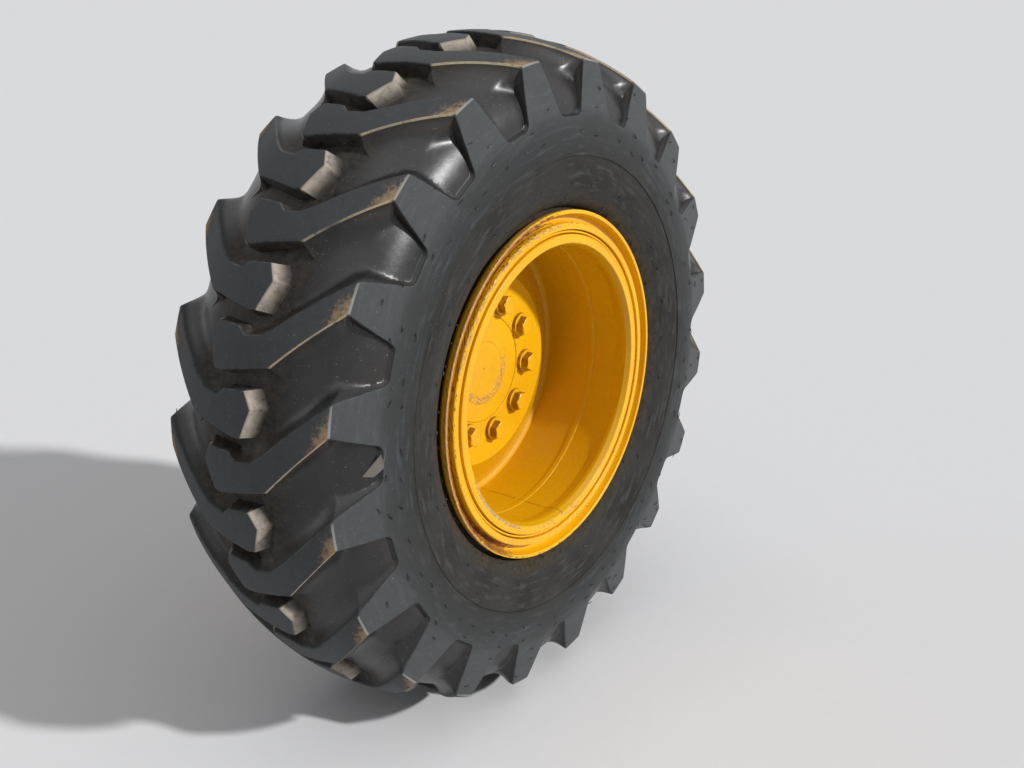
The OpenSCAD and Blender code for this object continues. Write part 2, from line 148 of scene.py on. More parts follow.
def wheel_points(r, degrees, w):
    """Rows of points in metres, from radii and distances out in mm and angles about the wheel's axis."""
    r, a, w = np.broadcast_arrays(np.asarray(r, float), np.radians(degrees), np.asarray(w, float))
    return np.stack([r * np.cos(a), -(PLANE_OUT + w), r * np.sin(a)], -1) * MM


def steps_round(count):
    return np.arange(count) * 360 / count


def lengths_along(points):
    return np.concatenate([[0], np.cumsum(np.hypot(*np.diff(points, axis=0).T))])


# Tyre: a height field over the flat plan of one pitch of the tread, copied round the wheel

def outer_section():
    """Rows of [length, w, r] along the lugs' tops, from the middle plane down to the sidewall."""
    crown = [(w, CROWN_R - w * w / (2 * CROWN_ARC)) for w in np.linspace(0, SHOULDER_W, CROWN_STEPS)]
    corner, foot = np.array(crown[-1]), np.array([FOOT_W, FOOT_R])
    before = corner + SHOULDER_ROUND * np.array([-1, SHOULDER_W / CROWN_ARC])
    after = corner + SHOULDER_ROUND * (foot - corner) / np.linalg.norm(foot - corner)
    middle = 0.25 * before + 0.5 * corner + 0.25 * after
    points = np.array(crown[:-1] + [before, middle, after, foot, (SECTION_W, SECTION_R)])
    return np.column_stack([lengths_along(points), points])


def floor_section():
    """Rows of [share of the length, w, r] along the grooves' floor, from the middle plane to its end."""
    a = np.linspace(math.pi / 2, FLOOR_LAST, FLOOR_STEPS)
    w = FLOOR_W * np.cos(a) ** (2 / FLOOR_POWER)
    r = SECTION_R + (FLOOR_R - SECTION_R) * np.sin(a) ** (2 / FLOOR_POWER)
    points = np.column_stack([w, r])[r >= FOOT_R]
    lengths = lengths_along(points)
    return np.column_stack([lengths / lengths[-1], points])


OUTER, FLOOR = outer_section(), floor_section()
SHOULDER_S, FOOT_S = OUTER[-4, 0], OUTER[-2, 0]
END_S = FOOT_S + 4.0


def plan_x(degrees):
    return math.radians(degrees) * PLAN_R


# Side and place in the plan of each lug near one pitch of the tread, and how far a lug and its walls reach
LUG_PLACES = [(side, plan_x(PITCH * (k if side > 0 else k - 0.5))) for side in (1, -1) for k in range(-2, 4)]
LUG_REACH = plan_x(-24), plan_x(26)


def plan_s(w):
    """Place along the section of a distance out from the middle plane, or of a named place."""
    named = {"foot": FOOT_S, "end": END_S, "-end": -END_S}
    return named[w] if w in named else math.copysign(np.interp(abs(w), OUTER[:-3, 1], OUTER[:-3, 0]), w)


def plan_corners(rows):
    return np.array([(plan_x(degrees), plan_s(w)) for w, degrees, *_ in rows])


def top_and_floor(s):
    """[w, r] of the lugs' tops and of the grooves' floor, at places along the section."""
    s = np.abs(s)
    top = np.stack([np.interp(s, OUTER[:, 0], OUTER[:, i]) for i in (1, 2)], -1)
    floor = np.stack([np.interp(s / FOOT_S, FLOOR[:, 0], FLOOR[:, i]) for i in (1, 2)], -1)
    return top, floor


def depth_at(s):
    top, floor = top_and_floor(s)
    return np.hypot(*(top - floor).T)


def wall_drop(d, depth, wall):
    """How far a wall lies below the top, at distances d out from its top edge."""
    run, power, _ = WALLS[wall]
    edge = np.interp(d, *zip(*EDGE_ROUND))
    share = np.clip((d - EDGE_ROUND[-1][0]) / (run * depth), 0, 1)
    return edge + (depth - EDGE_ROUND[-1][1]) * (1 - (1 - share) ** power)


def fillet_min(a, b, depth):
    """The lower of two drops, with a fillet where the walls meet between their top edges and the floor."""
    clear = np.minimum((a + b) / FULL_BELOW, np.minimum(depth - a, depth - b) / FULL_ABOVE)
    k = FILLET * np.clip(clear, 0, 1) + 1e-6
    return np.minimum(a, b) - np.maximum(k - np.abs(a - b), 0) ** 2 / (4 * k)


class Edge:
    """One side of a lug's outline in the plan, and the wall that falls away from it."""

    def __init__(self, a, b, wall, bend=0.0):
        self.a, self.wall, self.bend = a, wall, bend
        self.b, self.length = b, float(np.linalg.norm(b - a))
        self.along = (b - a) / self.length
        self.out = np.array([self.along[1], -self.along[0]])

    def distance(self, p):
        return (p - self.a) @ self.out - self.bend * np.maximum((p - self.b) @ self.along, 0)

    def drop(self, p, depth):
        return wall_drop(self.distance(p), depth, self.wall)

    def pocket_arc(self, d, count):
        """Points round the corner between a flank and the groove's end, d out from the top edge."""
        start = self.a + CORNER_R * self.out
        centre = start + self.along * (FOOT_S - CORNER_R - start[1]) / self.along[1]
        turns = np.linspace(math.atan2(*(-self.out)[::-1]), math.pi / 2, count)[:, None]
        return centre + (CORNER_R - d) * np.hstack([np.cos(turns), np.sin(turns)])


CORNERS = plan_corners(LUG)
BENDS = {9: 0.8}   # how far a wall turns away past its end
EDGES = [Edge(CORNERS[i], CORNERS[i + 1], LUG[i][2], BENDS.get(i, 0.0)) for i in range(len(LUG) - 1)]
TRAILING_FLANK, (INNER_SIDE, OUTER_SIDE, LEADING_FLANK) = EDGES[0], EDGES[9:]


def pocket_drop(flank, p, depth):
    """Drop beside a flank, with a rounded corner where the groove ends in the sidewall."""
    d, foot_d = flank.distance(p), FOOT_S - p[:, 1]
    gap_d, gap_f = np.maximum(CORNER_R - d, 0), np.maximum(CORNER_R - foot_d, 0)
    both = CORNER_R - np.hypot(gap_d, gap_f) + np.maximum(np.minimum(d, foot_d) - CORNER_R, 0)
    share = gap_f / np.maximum(gap_d + gap_f, 1e-9)
    share = share * share * (3 - 2 * share)
    return (1 - share) * wall_drop(both, depth, flank.wall) + share * wall_drop(both, depth, "foot")


def lug_drop(p, depth):
    """Drop of the surface round one lug, whether its nose's slope is there, and the distance out from
    the leading bar's edge."""
    (_, bar_3, bar_2, bar_1, notch_1, notch_2, nose_1, nose_2, tip, inner_side, outer_side,
     _) = (edge.drop(p, depth) for edge in EDGES)
    trailing = np.maximum(notch_1, notch_2)
    for wall in (bar_1, bar_2, bar_3):
        trailing = fillet_min(trailing, wall, depth)
    leading = fillet_min(outer_side, pocket_drop(LEADING_FLANK, p, depth), depth)
    nose = np.maximum(nose_1, nose_2)
    sides = [pocket_drop(TRAILING_FLANK, p, depth), trailing, nose, tip, inner_side, leading]
    drop = np.max(sides, axis=0)
    from_leading = np.maximum(INNER_SIDE.distance(p), OUTER_SIDE.distance(p))
    return drop, (nose >= drop - ON_TOP) & (nose > ON_NOSE), from_leading


def tread(p):
    """Drop of the tread below its top at plan points p, and for its finish: whether a nose's slope is
    there, and the distances out from the leading bar's edge and in from the shoulder's edge."""
    s = p[:, 1]
    depth = depth_at(s)
    drop = wall_drop(FOOT_S - np.abs(s), depth, "foot")
    nose, leading, inner = np.zeros(len(p)), np.full(len(p), NO_EDGE), SHOULDER_S - np.abs(s)
    for side, x in LUG_PLACES:
        local = np.column_stack([p[:, 0] - x, side * s])
        near = (local[:, 0] > LUG_REACH[0]) & (local[:, 0] < LUG_REACH[1])
        own, own_nose, from_leading = lug_drop(local[near], depth[near])
        nearer = own < drop[near]
        nose[near] = np.where(nearer, own_nose, nose[near])
        leading[near] = np.where(nearer, from_leading, leading[near])
        drop[near] = fillet_min(drop[near], own, depth[near])
    return np.clip(drop, 0, depth), nose, leading, inner


def with_steps(chain, spacing):
    """A chain of points with its long stretches divided."""
    chain = np.asarray(chain, float)
    rows = [chain[0]]
    for a, b in zip(chain[:-1], chain[1:]):
        steps = max(1, round(float(np.linalg.norm(b - a)) / spacing))
        rows += [a + (b - a) * i / steps for i in range(1, steps + 1)]
    return np.array(rows)


def edge_ring(d):
    """Chain along a lug's top edge, d out from it, and on to the next lug along the groove's end."""
    corners = [after.a + d * (before.out + after.out) / (1 + before.out @ after.out)
               for before, after in zip(EDGES[:-1], EDGES[1:])]
    chain = [*TRAILING_FLANK.pocket_arc(d, 7)[::-1], *corners, *LEADING_FLANK.pocket_arc(d, 7)]
    chain.append(chain[0] + np.array([plan_x(PITCH), 0]))
    return with_steps(chain, LINE_SPACING)


# Lines of the tread's mesh, in mm
RIDGES, VALLEYS = (1, 5, 6, 7, 8, 9, 10), (2, 3, 4, 11)   # corners by the way their walls meet
RIDGE_LEVELS = (0.0, 0.12, 0.3, 0.5, 0.7, 0.88, 1.0)      # shares of the depth with a point on a ridge
POCKET_LINES = (1.0, 2.1, 3.3, 4.4, 5.3, 6.3)             # distances out of the lines in a pocket's corner
DENSE = 0.5           # spacing of the points that a line is thinned from
PAST_ENDS = 150.0     # how far past its ends a wall's line is tried
SAME_DROP = 0.3       # a wall governs where the tread's drop is this near its own
VALLEY_REACH = 60.0   # how far a valley's line runs from its corner
MARGIN = 20.0         # how far outside one pitch lines still count
FOOT_SPAN = plan_x(-8), plan_x(18)   # where the lines along the foot run
TOP_END = plan_x(8)   # where the lines along the shoulder end
FOOT_GAP = 3.0        # how far short of the foot's edge a wall's line ends
SAME_PLACE = 0.02     # points nearer than this are one
CHUNK = 200           # points whose distances are taken at once
RIDGE_ROUNDS, FOOT_ROUNDS = 20, 30          # rounds of the search for a ridge's and a foot line's place
ROW_STEP, SHIFT, CLEAR = 0.866, 0.12, 0.6   # of the spacing: between rows of loose points, their shift
                                            # at random, their least distance from the lines


def stretches(points, wanted, spacing):
    """The parts of a dense line of points where wanted holds, thinned to a spacing."""
    found = []
    edges = np.flatnonzero(np.diff(np.concatenate([[0], wanted.astype(int), [0]])))
    for first, last in zip(edges[::2], edges[1::2] - 1):
        if last - first >= 2:
            count = max(1, round((last - first) * DENSE / spacing))
            found.append(points[np.round(np.linspace(first, last, count + 1)).astype(int)])
    return found


def ridge_chain(corner):
    """Chain down the ridge where the two walls at a corner of the top outline fall equally."""
    before, after = EDGES[corner - 1], EDGES[corner]
    turned_out = before.out - before.bend * before.along
    rows = []
    for level in RIDGE_LEVELS:
        point = after.a
        for _ in range(RIDGE_ROUNDS):
            depth = float(depth_at(point[1]))
            out = [EDGE_ROUND[-1][0] + run * depth * (1 - (1 - level) ** (1 / power))
                   for run, power, _ in (WALLS[before.wall], WALLS[after.wall])]
            point = after.a + np.linalg.solve(np.array([turned_out, after.out]), out)
        rows.append(point)
    return np.array(rows)


def wall_lines():
    """Chains along one lug's walls below the top edge, and along the ridges between the walls."""
    chains, valley = [ridge_chain(i) for i in RIDGES], {i: [] for i in VALLEYS}
    for i, edge in enumerate(EDGES):
        run, _, shares = WALLS[edge.wall]
        t = np.arange(-PAST_ENDS, edge.length + PAST_ENDS, DENSE)
        line = edge.a + t[:, None] * edge.along
        for share in shares:
            d = EDGE_ROUND[-1][0] + share * run * depth_at(line[:, 1])
            points = line + d[:, None] * edge.out
            own = edge.drop(points, depth_at(points[:, 1]))
            governs = np.abs(tread(points)[0] - own) < SAME_DROP
            governs &= np.abs(points[:, 1]) < FOOT_S - FOOT_GAP
            if edge.bend:
                governs &= t < edge.length
            for chain in stretches(points, governs, LINE_SPACING):
                chains.append(chain)
                valley.get(i, []).append(chain[0])
                valley.get(i + 1, []).append(chain[-1])
    t = np.arange(*FOOT_SPAN, DENSE)
    foot_run, _, foot_shares = WALLS["foot"]
    for share in foot_shares:
        d = 0.0
        for _ in range(FOOT_ROUNDS):
            d = EDGE_ROUND[-1][0] + share * foot_run * float(depth_at(FOOT_S - d))
        points = np.column_stack([t, np.full(len(t), FOOT_S - d)])
        own = wall_drop(FOOT_S - points[:, 1], depth_at(points[:, 1]), "foot")
        chains += stretches(points, np.abs(tread(points)[0] - own) < SAME_DROP, LINE_SPACING)
    for flank in (TRAILING_FLANK, LEADING_FLANK):
        chains += [flank.pocket_arc(d, 8) for d in POCKET_LINES]
    for s in (SHOULDER_S - SHOULDER_ROUND, SHOULDER_S, SHOULDER_S + SHOULDER_ROUND):
        points = np.column_stack([t, np.full(len(t), s)])
        chains += stretches(points, (tread(points)[0] < ON_TOP) & (t < TOP_END), TOP_SPACING)
    for i, ends in valley.items():
        far = np.linalg.norm(np.array(ends) - EDGES[i].a, axis=1)
        order = np.argsort(far, kind="stable")[:(far < VALLEY_REACH).sum()]
        if len(order) > 1:
            chains.append(np.array(ends)[order])
    return chains


def inside(p, outline):
    """Which points lie inside a closed outline."""
    result = np.zeros(len(p), bool)
    for a, b in zip(outline, np.roll(outline, -1, axis=0)):
        crosses = (a[1] > p[:, 1]) != (b[1] > p[:, 1])
        with np.errstate(divide="ignore", invalid="ignore"):
            x = a[0] + (p[:, 1] - a[1]) * (b[0] - a[0]) / (b[1] - a[1])
        result ^= crosses & (p[:, 0] < x)
    return result


def nearest(p, others):
    """Distance from each point to the nearest of others."""
    return np.concatenate([np.sqrt(((part[:, None] - others[None]) ** 2).sum(-1)).min(1)
                           for part in np.array_split(p, max(1, len(p) // CHUNK))])


def hex_points(low, high, spacing, rng):
    """Loose points in staggered rows, each shifted a little at random."""
    x, y = np.meshgrid(np.arange(low[0], high[0], spacing), np.arange(low[1], high[1], spacing * ROW_STEP))
    x[1::2] += spacing / 2
    points = np.stack([x, y], -1).reshape(-1, 2)
    return points + rng.uniform(-SHIFT, SHIFT, points.shape) * spacing


def tread_cell():
    """Plan points and triangles of one pitch of the tread, bounded by the middles of two grooves."""
    left = with_steps(plan_corners(GROOVE), GROOVE_SPACING)
    right = left + np.array([plan_x(PITCH), 0])
    ends = [np.linspace(a, b, TURN_STEPS + 1) for a, b in ((left[0], right[0]), (left[-1], right[-1]))]
    outline = np.concatenate([left, right[::-1]])
    chains = [left, right] + ends
    low, high = outline.min(0) - MARGIN, outline.max(0) + MARGIN
    for chain in [edge_ring(d) for d, _ in EDGE_ROUND] + wall_lines():
        for side, x in LUG_PLACES:
            moved = np.column_stack([chain[:, 0] + x, side * chain[:, 1]])
            if (moved.max(0) > low).all() and (moved.min(0) < high).all():
                chains.append(moved)
    fixed = np.concatenate(chains)
    fixed = fixed[np.abs(fixed[:, 1]) < END_S + MARGIN / 2]
    rng = np.random.default_rng(7)
    for spacing, tops in ((GROOVE_SPACING, False), (TOP_SPACING, True)):
        points = hex_points(outline.min(0), outline.max(0), spacing, rng)
        points = points[inside(points, outline)]
        points = points[(tread(points)[0] < ON_TOP) == tops]
        chains.append(points[nearest(points, fixed) > CLEAR * spacing])
    verts, lines = [], []
    for i, chain in enumerate(chains):
        if i < len(chains) - 2:
            lines += [(len(verts) + j, len(verts) + j + 1) for j in range(len(chain) - 1)]
        verts += [Vector(p) for p in chain]
    points, _, faces, *_ = delaunay_2d_cdt(verts, lines, [], 0, SAME_PLACE)
    points = np.array([tuple(p) for p in points])
    faces = np.array([face for face in faces if len(face) == 3])
    faces = faces[inside(points[faces].mean(1), outline)]
    used, index = np.unique(faces, return_inverse=True)
    return points[used], index.reshape(-1, 3)


def tread_mesh():
    """Points in metres, faces and zones of the whole tread."""
    plan, faces = tread_cell()
    drop, nose, leading, inner = tread(plan)
    top, floor = top_and_floor(plan[:, 1])
    share = 1 - drop / depth_at(plan[:, 1])
    w, r = (floor + share[:, None] * (top - floor)).T
    degrees = np.degrees(plan[:, 0] / PLAN_R) + LUG_TURN
    w = w * np.sign(plan[:, 1])
    turns = np.arange(LUG_COUNT) * PITCH
    points = np.concatenate([wheel_points(r, degrees + turn, w) for turn in turns])
    all_faces = np.concatenate([faces + i * len(plan) for i in range(LUG_COUNT)])
    zones = {"drop": 1 - share, "nose": nose, "leading": leading, "inner": inner}
    return points, all_faces, {name: np.tile(values, LUG_COUNT) for name, values in zones.items()}


RIB_R = 461.0   # radius of the thin rib round the sidewall
RIB = ((-0.9, 0), (-0.35, 1.2), (0.35, 1.2), (0.9, 0))   # degrees along the section from its middle, height
WALL_TURNS = (74, 66, 59, 50, 42, 34, 27, 20, 13, 6, 0)   # degrees of the section's points without it


def oval(degrees, low_w, high_w, low_r, height=0.0):
    """Point of a quarter oval from [low_w, low_r] at 0 degrees to the widest place at 90, raised."""
    sine, cosine = math.sin(math.radians(degrees)), math.cos(math.radians(degrees))
    return low_w + (high_w - low_w + height) * sine, SECTION_R - (SECTION_R - low_r + height) * cosine


def sidewall_section():
    """[w, r] points from the tread's end down the sidewall and round the bead to the inner liner."""
    top, _ = top_and_floor(np.array([END_S]))
    rows = [tuple(top[0]), (SECTION_W, SECTION_R)]
    rib = math.degrees(math.acos((SECTION_R - RIB_R) / (SECTION_R - BEAD_TOP_R)))
    turns = [(a, 0.0) for a in WALL_TURNS] + [(rib + step, height) for step, height in RIB]
    rows += [oval(a, BEAD_FACE_W, SECTION_W, BEAD_TOP_R, up) for a, up in sorted(turns, reverse=True)]
    rows += [(BEAD_FACE_W, 345.0), (BEAD_FACE_W, BEAD_SEAT_R + 6), (BEAD_FACE_W - 6, BEAD_SEAT_R),
             (BEAD_TOE_W + 3, BEAD_SEAT_R - 3.2), (BEAD_TOE_W, BEAD_SEAT_R), (BEAD_TOE_W, LINER_BEAD_R)]
    rows += [oval(a, BEAD_TOE_W, LINER_W, LINER_BEAD_R) for a in (30, 60, 90)]
    rows += [(LINER_W * math.cos(a) ** LINER_POWER,
              SECTION_R + (LINER_R - SECTION_R) * math.sin(a) ** LINER_POWER)
             for a in (math.radians(30), math.radians(60))]
    return np.array(rows)


def tyre(rubber):
    """The tyre, which replaces its node, and its surface for rays to hit."""
    points, faces, zones = tread_mesh()
    section = sidewall_section()
    loop = np.concatenate([section, [(0, LINER_R)], section[::-1] * (-1, 1)])
    sides = LUG_COUNT * TURN_STEPS
    angles = LUG_TURN + GROOVE[0][1] + steps_round(sides)
    rings = np.concatenate([wheel_points(r, angles, w) for w, r in loop])
    index = np.arange(len(loop) * sides).reshape(len(loop), sides)
    a, b = index[:-1], index[1:]
    quads = np.stack([a, b, np.roll(b, -1, 1), np.roll(a, -1, 1)], -1).reshape(-1, 4) + len(points)
    for key, value in (("drop", 0.0), ("nose", 0.0), ("leading", NO_EDGE), ("inner", OFF_TREAD)):
        zones[key] = np.concatenate([zones[key], np.full(len(rings), value)])
    points, faces = np.concatenate([points, rings]), faces.tolist() + quads.tolist()
    piece_from("tyre_body", points, faces, rubber, "tyre", "tyre", values=zones)
    return BVHTree.FromPolygons(points.tolist(), faces)


# Turned pieces of the rim, from sections of [radius, distance out, rounding of the corner]

SIDES = 216          # steps round a turned piece
CORNER_STEPS = 4     # steps of a rounded corner
LONGEST = 0.45       # most of a side that a rounded corner may take
SHORTEST = 0.05      # less reach than this leaves a corner sharp, in mm
ON_AXIS = 0.01       # less radius than this lies on the wheel's axis


def rounded(corners):
    """Closed section of points [r, w] from corners with the size of their rounding."""
    corners = [np.array(corner, float) for corner in corners]
    points = []
    for before, here, after in zip(corners[-1:] + corners[:-1], corners, corners[1:] + corners[:1]):
        place, size = here[:2], here[2]
        a, b = before[:2] - place, after[:2] - place
        long_a, long_b = np.linalg.norm(a), np.linalg.norm(b)
        a, b = a / long_a, b / long_b
        half = 0.5 * math.acos(max(-1.0, min(1.0, float(a @ b))))
        reach = min(size / math.tan(half), LONGEST * min(long_a, long_b))
        if size == 0 or reach < SHORTEST:
            points.append(place)
            continue
        radius = reach * math.tan(half)
        centre = place + (a + b) / np.linalg.norm(a + b) * radius / math.sin(half)
        first, last = place + a * reach - centre, place + b * reach - centre
        turn = math.pi - 2 * half
        points += [centre + (math.sin(turn - a) * first + math.sin(a) * last) / math.sin(turn)
                   for a in np.linspace(0, turn, CORNER_STEPS + 1)]
    return np.array(points)


def ring_faces(rows, sides):
    """Four-sided faces of a closed section of points turned through a whole turn."""
    index = np.arange(rows * sides).reshape(rows, sides)
    after = np.roll(index, -1, 0)
    return np.stack([index, after, np.roll(after, -1, 1), np.roll(index, -1, 1)], -1).reshape(-1, 4)


def turned(name, corners, material, slot, *nodes):
    """A ring turned about the wheel's axis, or a solid one where its section touches the axis."""
    section = rounded(corners)
    points = np.concatenate([wheel_points(r, steps_round(SIDES), w) for r, w in section])
    faces = ring_faces(len(section), SIDES)
    on_axis = np.flatnonzero(section[:, 0] < ON_AXIS)
    if len(on_axis):
        both = np.isin(faces[:, 0] // SIDES, on_axis) & np.isin(faces[:, 1] // SIDES, on_axis)
        faces = faces[~both]
    piece_from(name, points, faces.tolist(), material, slot, *nodes, sharp=32.0)


FLANGE_FACE = 177.8      # distance out of a flange's face against the tyre
FLANGE_R, FLANGE_T = 355.6, 8.0
LIP_H, LIP_OUT = 17.0, 27.0
SEAT_R, TAPER = 317.5, math.tan(math.radians(5))
BARREL_R, BARREL_T = 289.0, 11.0
GUTTER_R = 307.0
BASE_END = LIP_END - 3.0
GROOVE_OUT, GROOVE_IN = BASE_END - 16.0, BASE_END - 30.0
BAND_IN = BASE_END - 102.0
COLLAR_R, COLLAR_W = 330.0, 12.0
WEDGE_R = 316.3
RIM_GAP = 0.3
BUTT_WELD_W = 98.0       # place of the weld round the barrel
BUTT_WELD = ((0, 7, 0.2), (1.4, 5.6, 0.6), (1.8, 0, 3), (1.4, -5.6, 0.6), (0, -7, 0.2))
MOUTH = [(BARREL_R - 5.0, BASE_END - 11, 3), (BARREL_R - 5.4, BASE_END - 18, 6),
         (BARREL_R, BASE_END - 40, 14)]   # low lip inside the barrel
SEAM_TURN = 275.5        # place of the weld along the barrel, in degrees
DISC_OUT, DISC_T, DISC_FLAT_R, DISC_DISH = 17.0, 20.0, 207.0, 43.0
PILOT_R = 114.0
RIPPLE, WELD_LEG, WELD_ARCH = 6.5, 12.0, 1.6    # step of a weld, its leg, its bulge
RIPPLE_H, RIPPLE_LAG, WELD_BITE = 0.55, 1.2, 0.6   # ripples: height, lag at the middle; depth of the root


def flange_corners(side):
    """Section of a flange ring: its foot, its wall and the lip that rolls outward."""
    lip_start = FLANGE_R - LIP_H
    turns = np.radians(np.linspace(0, 90, 11)[1:-1])
    under, over = ([(lip_start + (LIP_H - inset) * math.sin(a), LIP_END - (LIP_OUT - inset) * math.cos(a), 0)
                    for a in turns] for inset in (0, FLANGE_T))
    rows = [(SEAT_R + RIM_GAP, FLANGE_FACE, 1.0), (lip_start, FLANGE_FACE, 0), *under,
            (FLANGE_R, LIP_END, 4.2), (FLANGE_R - FLANGE_T, LIP_END, 3.4), *over[::-1],
            (lip_start, FLANGE_FACE + FLANGE_T, 0), (SEAT_R + RIM_GAP, FLANGE_FACE + FLANGE_T, 1.0)]
    return [(r, side * w, size) for r, w, size in rows]


def rim(paint):
    """The rim base, its loose bead seat band, the lock ring and the two flange rings."""
    back_r = SEAT_R + 6.0
    back_w = -FLANGE_FACE - FLANGE_T - RIM_GAP
    bead_w, slope = 42.0, 20.0
    outer_r = BARREL_R + BARREL_T
    weld = [(BARREL_R - up, BUTT_WELD_W + out, size) for up, out, size in BUTT_WELD]
    turned("rim_base_ring", [
        (BARREL_R, -LIP_END, 3), (back_r, -LIP_END, 3), (back_r, back_w, 1.5), (SEAT_R, back_w, 0.5),
        (SEAT_R, -FLANGE_FACE, 0), (SEAT_R - bead_w * TAPER, bead_w - FLANGE_FACE, 6),
        (outer_r, bead_w + slope - FLANGE_FACE, 8), (outer_r, BAND_IN - 20, 6), (GUTTER_R, BAND_IN - 6, 3),
        (GUTTER_R, GROOVE_IN, 0.6), (GUTTER_R - 7, GROOVE_IN, 2), (GUTTER_R - 7, GROOVE_OUT, 2),
        (GUTTER_R, GROOVE_OUT, 1), (GUTTER_R, BASE_END, 1.4), (GUTTER_R - 3.2, BASE_END, 0.2),
        (GUTTER_R - 3.7, BASE_END - 0.7, 0.2), (GUTTER_R - 4.2, BASE_END, 0.2),
        (BARREL_R, BASE_END, 1.6)] + MOUTH + weld, paint["rim"], "rim_paint", "rim_base")
    turned("bead_seat_ring", [
        (GUTTER_R + RIM_GAP, BAND_IN, 1), (SEAT_R - (FLANGE_FACE - BAND_IN) * TAPER, BAND_IN, 3),
        (SEAT_R, FLANGE_FACE, 0), (SEAT_R, BASE_END - COLLAR_W, 0.5), (COLLAR_R, BASE_END - COLLAR_W, 1.5),
        (COLLAR_R, BASE_END, 3), (WEDGE_R, BASE_END, 1.6), (WEDGE_R, GROOVE_OUT, 1),
        (GUTTER_R + RIM_GAP, GROOVE_IN, 1)], paint["collar"], "rim_paint", "bead_seat_band")
    turned("split_lock_ring", [
        (GUTTER_R - 6.7, GROOVE_IN + RIM_GAP, 2), (GUTTER_R, GROOVE_IN + RIM_GAP, 1),
        (WEDGE_R - RIM_GAP, GROOVE_OUT - 0.2, 1), (WEDGE_R - 2.2, GROOVE_OUT + 1, 1),
        (WEDGE_R - 2.2, BASE_END - 4, 2.3), (GUTTER_R + 2.3, BASE_END - 4, 2.3),
        (GUTTER_R + 2.3, GROOVE_OUT - RIM_GAP, 1), (GUTTER_R - 6.7, GROOVE_OUT - RIM_GAP, 2)],
        paint["lock"], "rim_paint", "lock_ring")
    turned("flange_ring_outer", flange_corners(1), paint["flange"], "rim_paint", "outer_flange")
    turned("flange_ring_inner", flange_corners(-1), paint["back"], "rim_paint", "inner_flange")


def disc(paint):
    """The dished disc that carries the rim."""
    face, back, dish = DISC_OUT, DISC_OUT - DISC_T, DISC_DISH
    turned("dished_disc", [
        (PILOT_R + 0.3, back, 0.5), (DISC_FLAT_R, back, 12), (BARREL_R - 0.1, back - dish, 0.5),
        (BARREL_R - 0.1, face - dish, 0.5), (DISC_FLAT_R, face, 4), (PILOT_R + 0.3, face, 0.8)],
        paint, "rim_paint", "wheel_disc")


def disc_welds(paint):
    """Fillet welds between disc and barrel, one on each side, with a ripple for each step of the weld."""
    slope = DISC_DISH / (BARREL_R - DISC_FLAT_R)
    sides = 4 * round(2 * math.pi * BARREL_R / RIPPLE)
    angles = steps_round(sides)
    points, faces = [], []
    for w, side in ((DISC_OUT - DISC_DISH, 1), (DISC_OUT - DISC_T - DISC_DISH, -1)):
        corner = np.array([BARREL_R + WELD_BITE, w - side * WELD_BITE])
        top = np.array([BARREL_R - 0.05, w + side * WELD_LEG])
        foot = np.array([BARREL_R - WELD_LEG, w + slope * WELD_LEG])
        rows = [(corner, 0.0, 0.0)]
        for share in np.linspace(0, 1, 7):
            arch = math.sin(math.pi * share)
            flat = top + (foot - top) * share
            bulge = (flat - corner) / np.linalg.norm(flat - corner) * WELD_ARCH * arch
            rows.append((flat + bulge, RIPPLE_H * arch, RIPPLE_LAG * arch))
        first = len(points) * sides
        out = (top + foot) / 2 - corner
        out /= np.linalg.norm(out)
        for place, height, lag in rows:
            wave = height * np.abs(np.sin(np.pi * (np.arange(sides) / 4 - 0.25 * lag)))
            points.append(wheel_points(place[0] + out[0] * wave, angles, place[1] + out[1] * wave))
        faces += (ring_faces(len(rows), sides) + first).tolist()
    piece_from("disc_weld_beads", np.concatenate(points), faces, paint, "rim_paint", "disc_welds", sharp=60)


# Fasteners

BOLT_COUNT, BOLT_PCD, BOLT_TURN = 10, 285.75, -6.0
BOLT_FLATS, BOLT_HEAD, BOLT_D = 36.0, 17.0, 24.0
WASHER_D, WASHER_T = 51.0, 8.0
THREAD_PAST = 28.0   # length of a bolt behind the disc
CROWN, CHAMFER = 0.475, math.tan(math.radians(30))   # a head's flat top: radius over flats, slope past it
DISH = 0.5           # depth of the dish in its middle
# Angles of the points round a bolt and round a washer
BOLT_TURNS, WASHER_TURNS = (np.arange(steps) * 2 * math.pi / steps for steps in (48, 64))


def lathed(rows, angles=BOLT_TURNS):
    """Points by rings of a shape with rows of [radius, height], which may vary round the ring."""
    return [np.column_stack([r * np.cos(angles), r * np.sin(angles), np.broadcast_to(z, len(angles))])
            for r, z in rows]


def hex_head():
    """Points by rings of a hexagonal head whose top corners are turned off."""
    to_flat = (BOLT_TURNS + math.pi / 6) % (math.pi / 3) - math.pi / 6
    rho = BOLT_FLATS / 2 / np.cos(to_flat)
    crown, height = CROWN * BOLT_FLATS, BOLT_HEAD
    drop = (rho - crown) * CHAMFER
    return lathed([(rho, 0.0), (rho, height - drop), ((rho + crown) / 2, height - drop / 2), (crown, height),
                   (0.8 * crown, height), (0.78 * crown, height - DISH), (0.0, height - DISH)])


def ring_solid(rings, closed=False):
    """Points and faces of a shape given by rings, which ends in points on its own axis or is closed."""
    sides = len(rings[0])
    faces = ring_faces(len(rings), sides)
    if not closed:
        faces = faces[:(len(rings) - 1) * sides]
    return np.concatenate(rings), faces


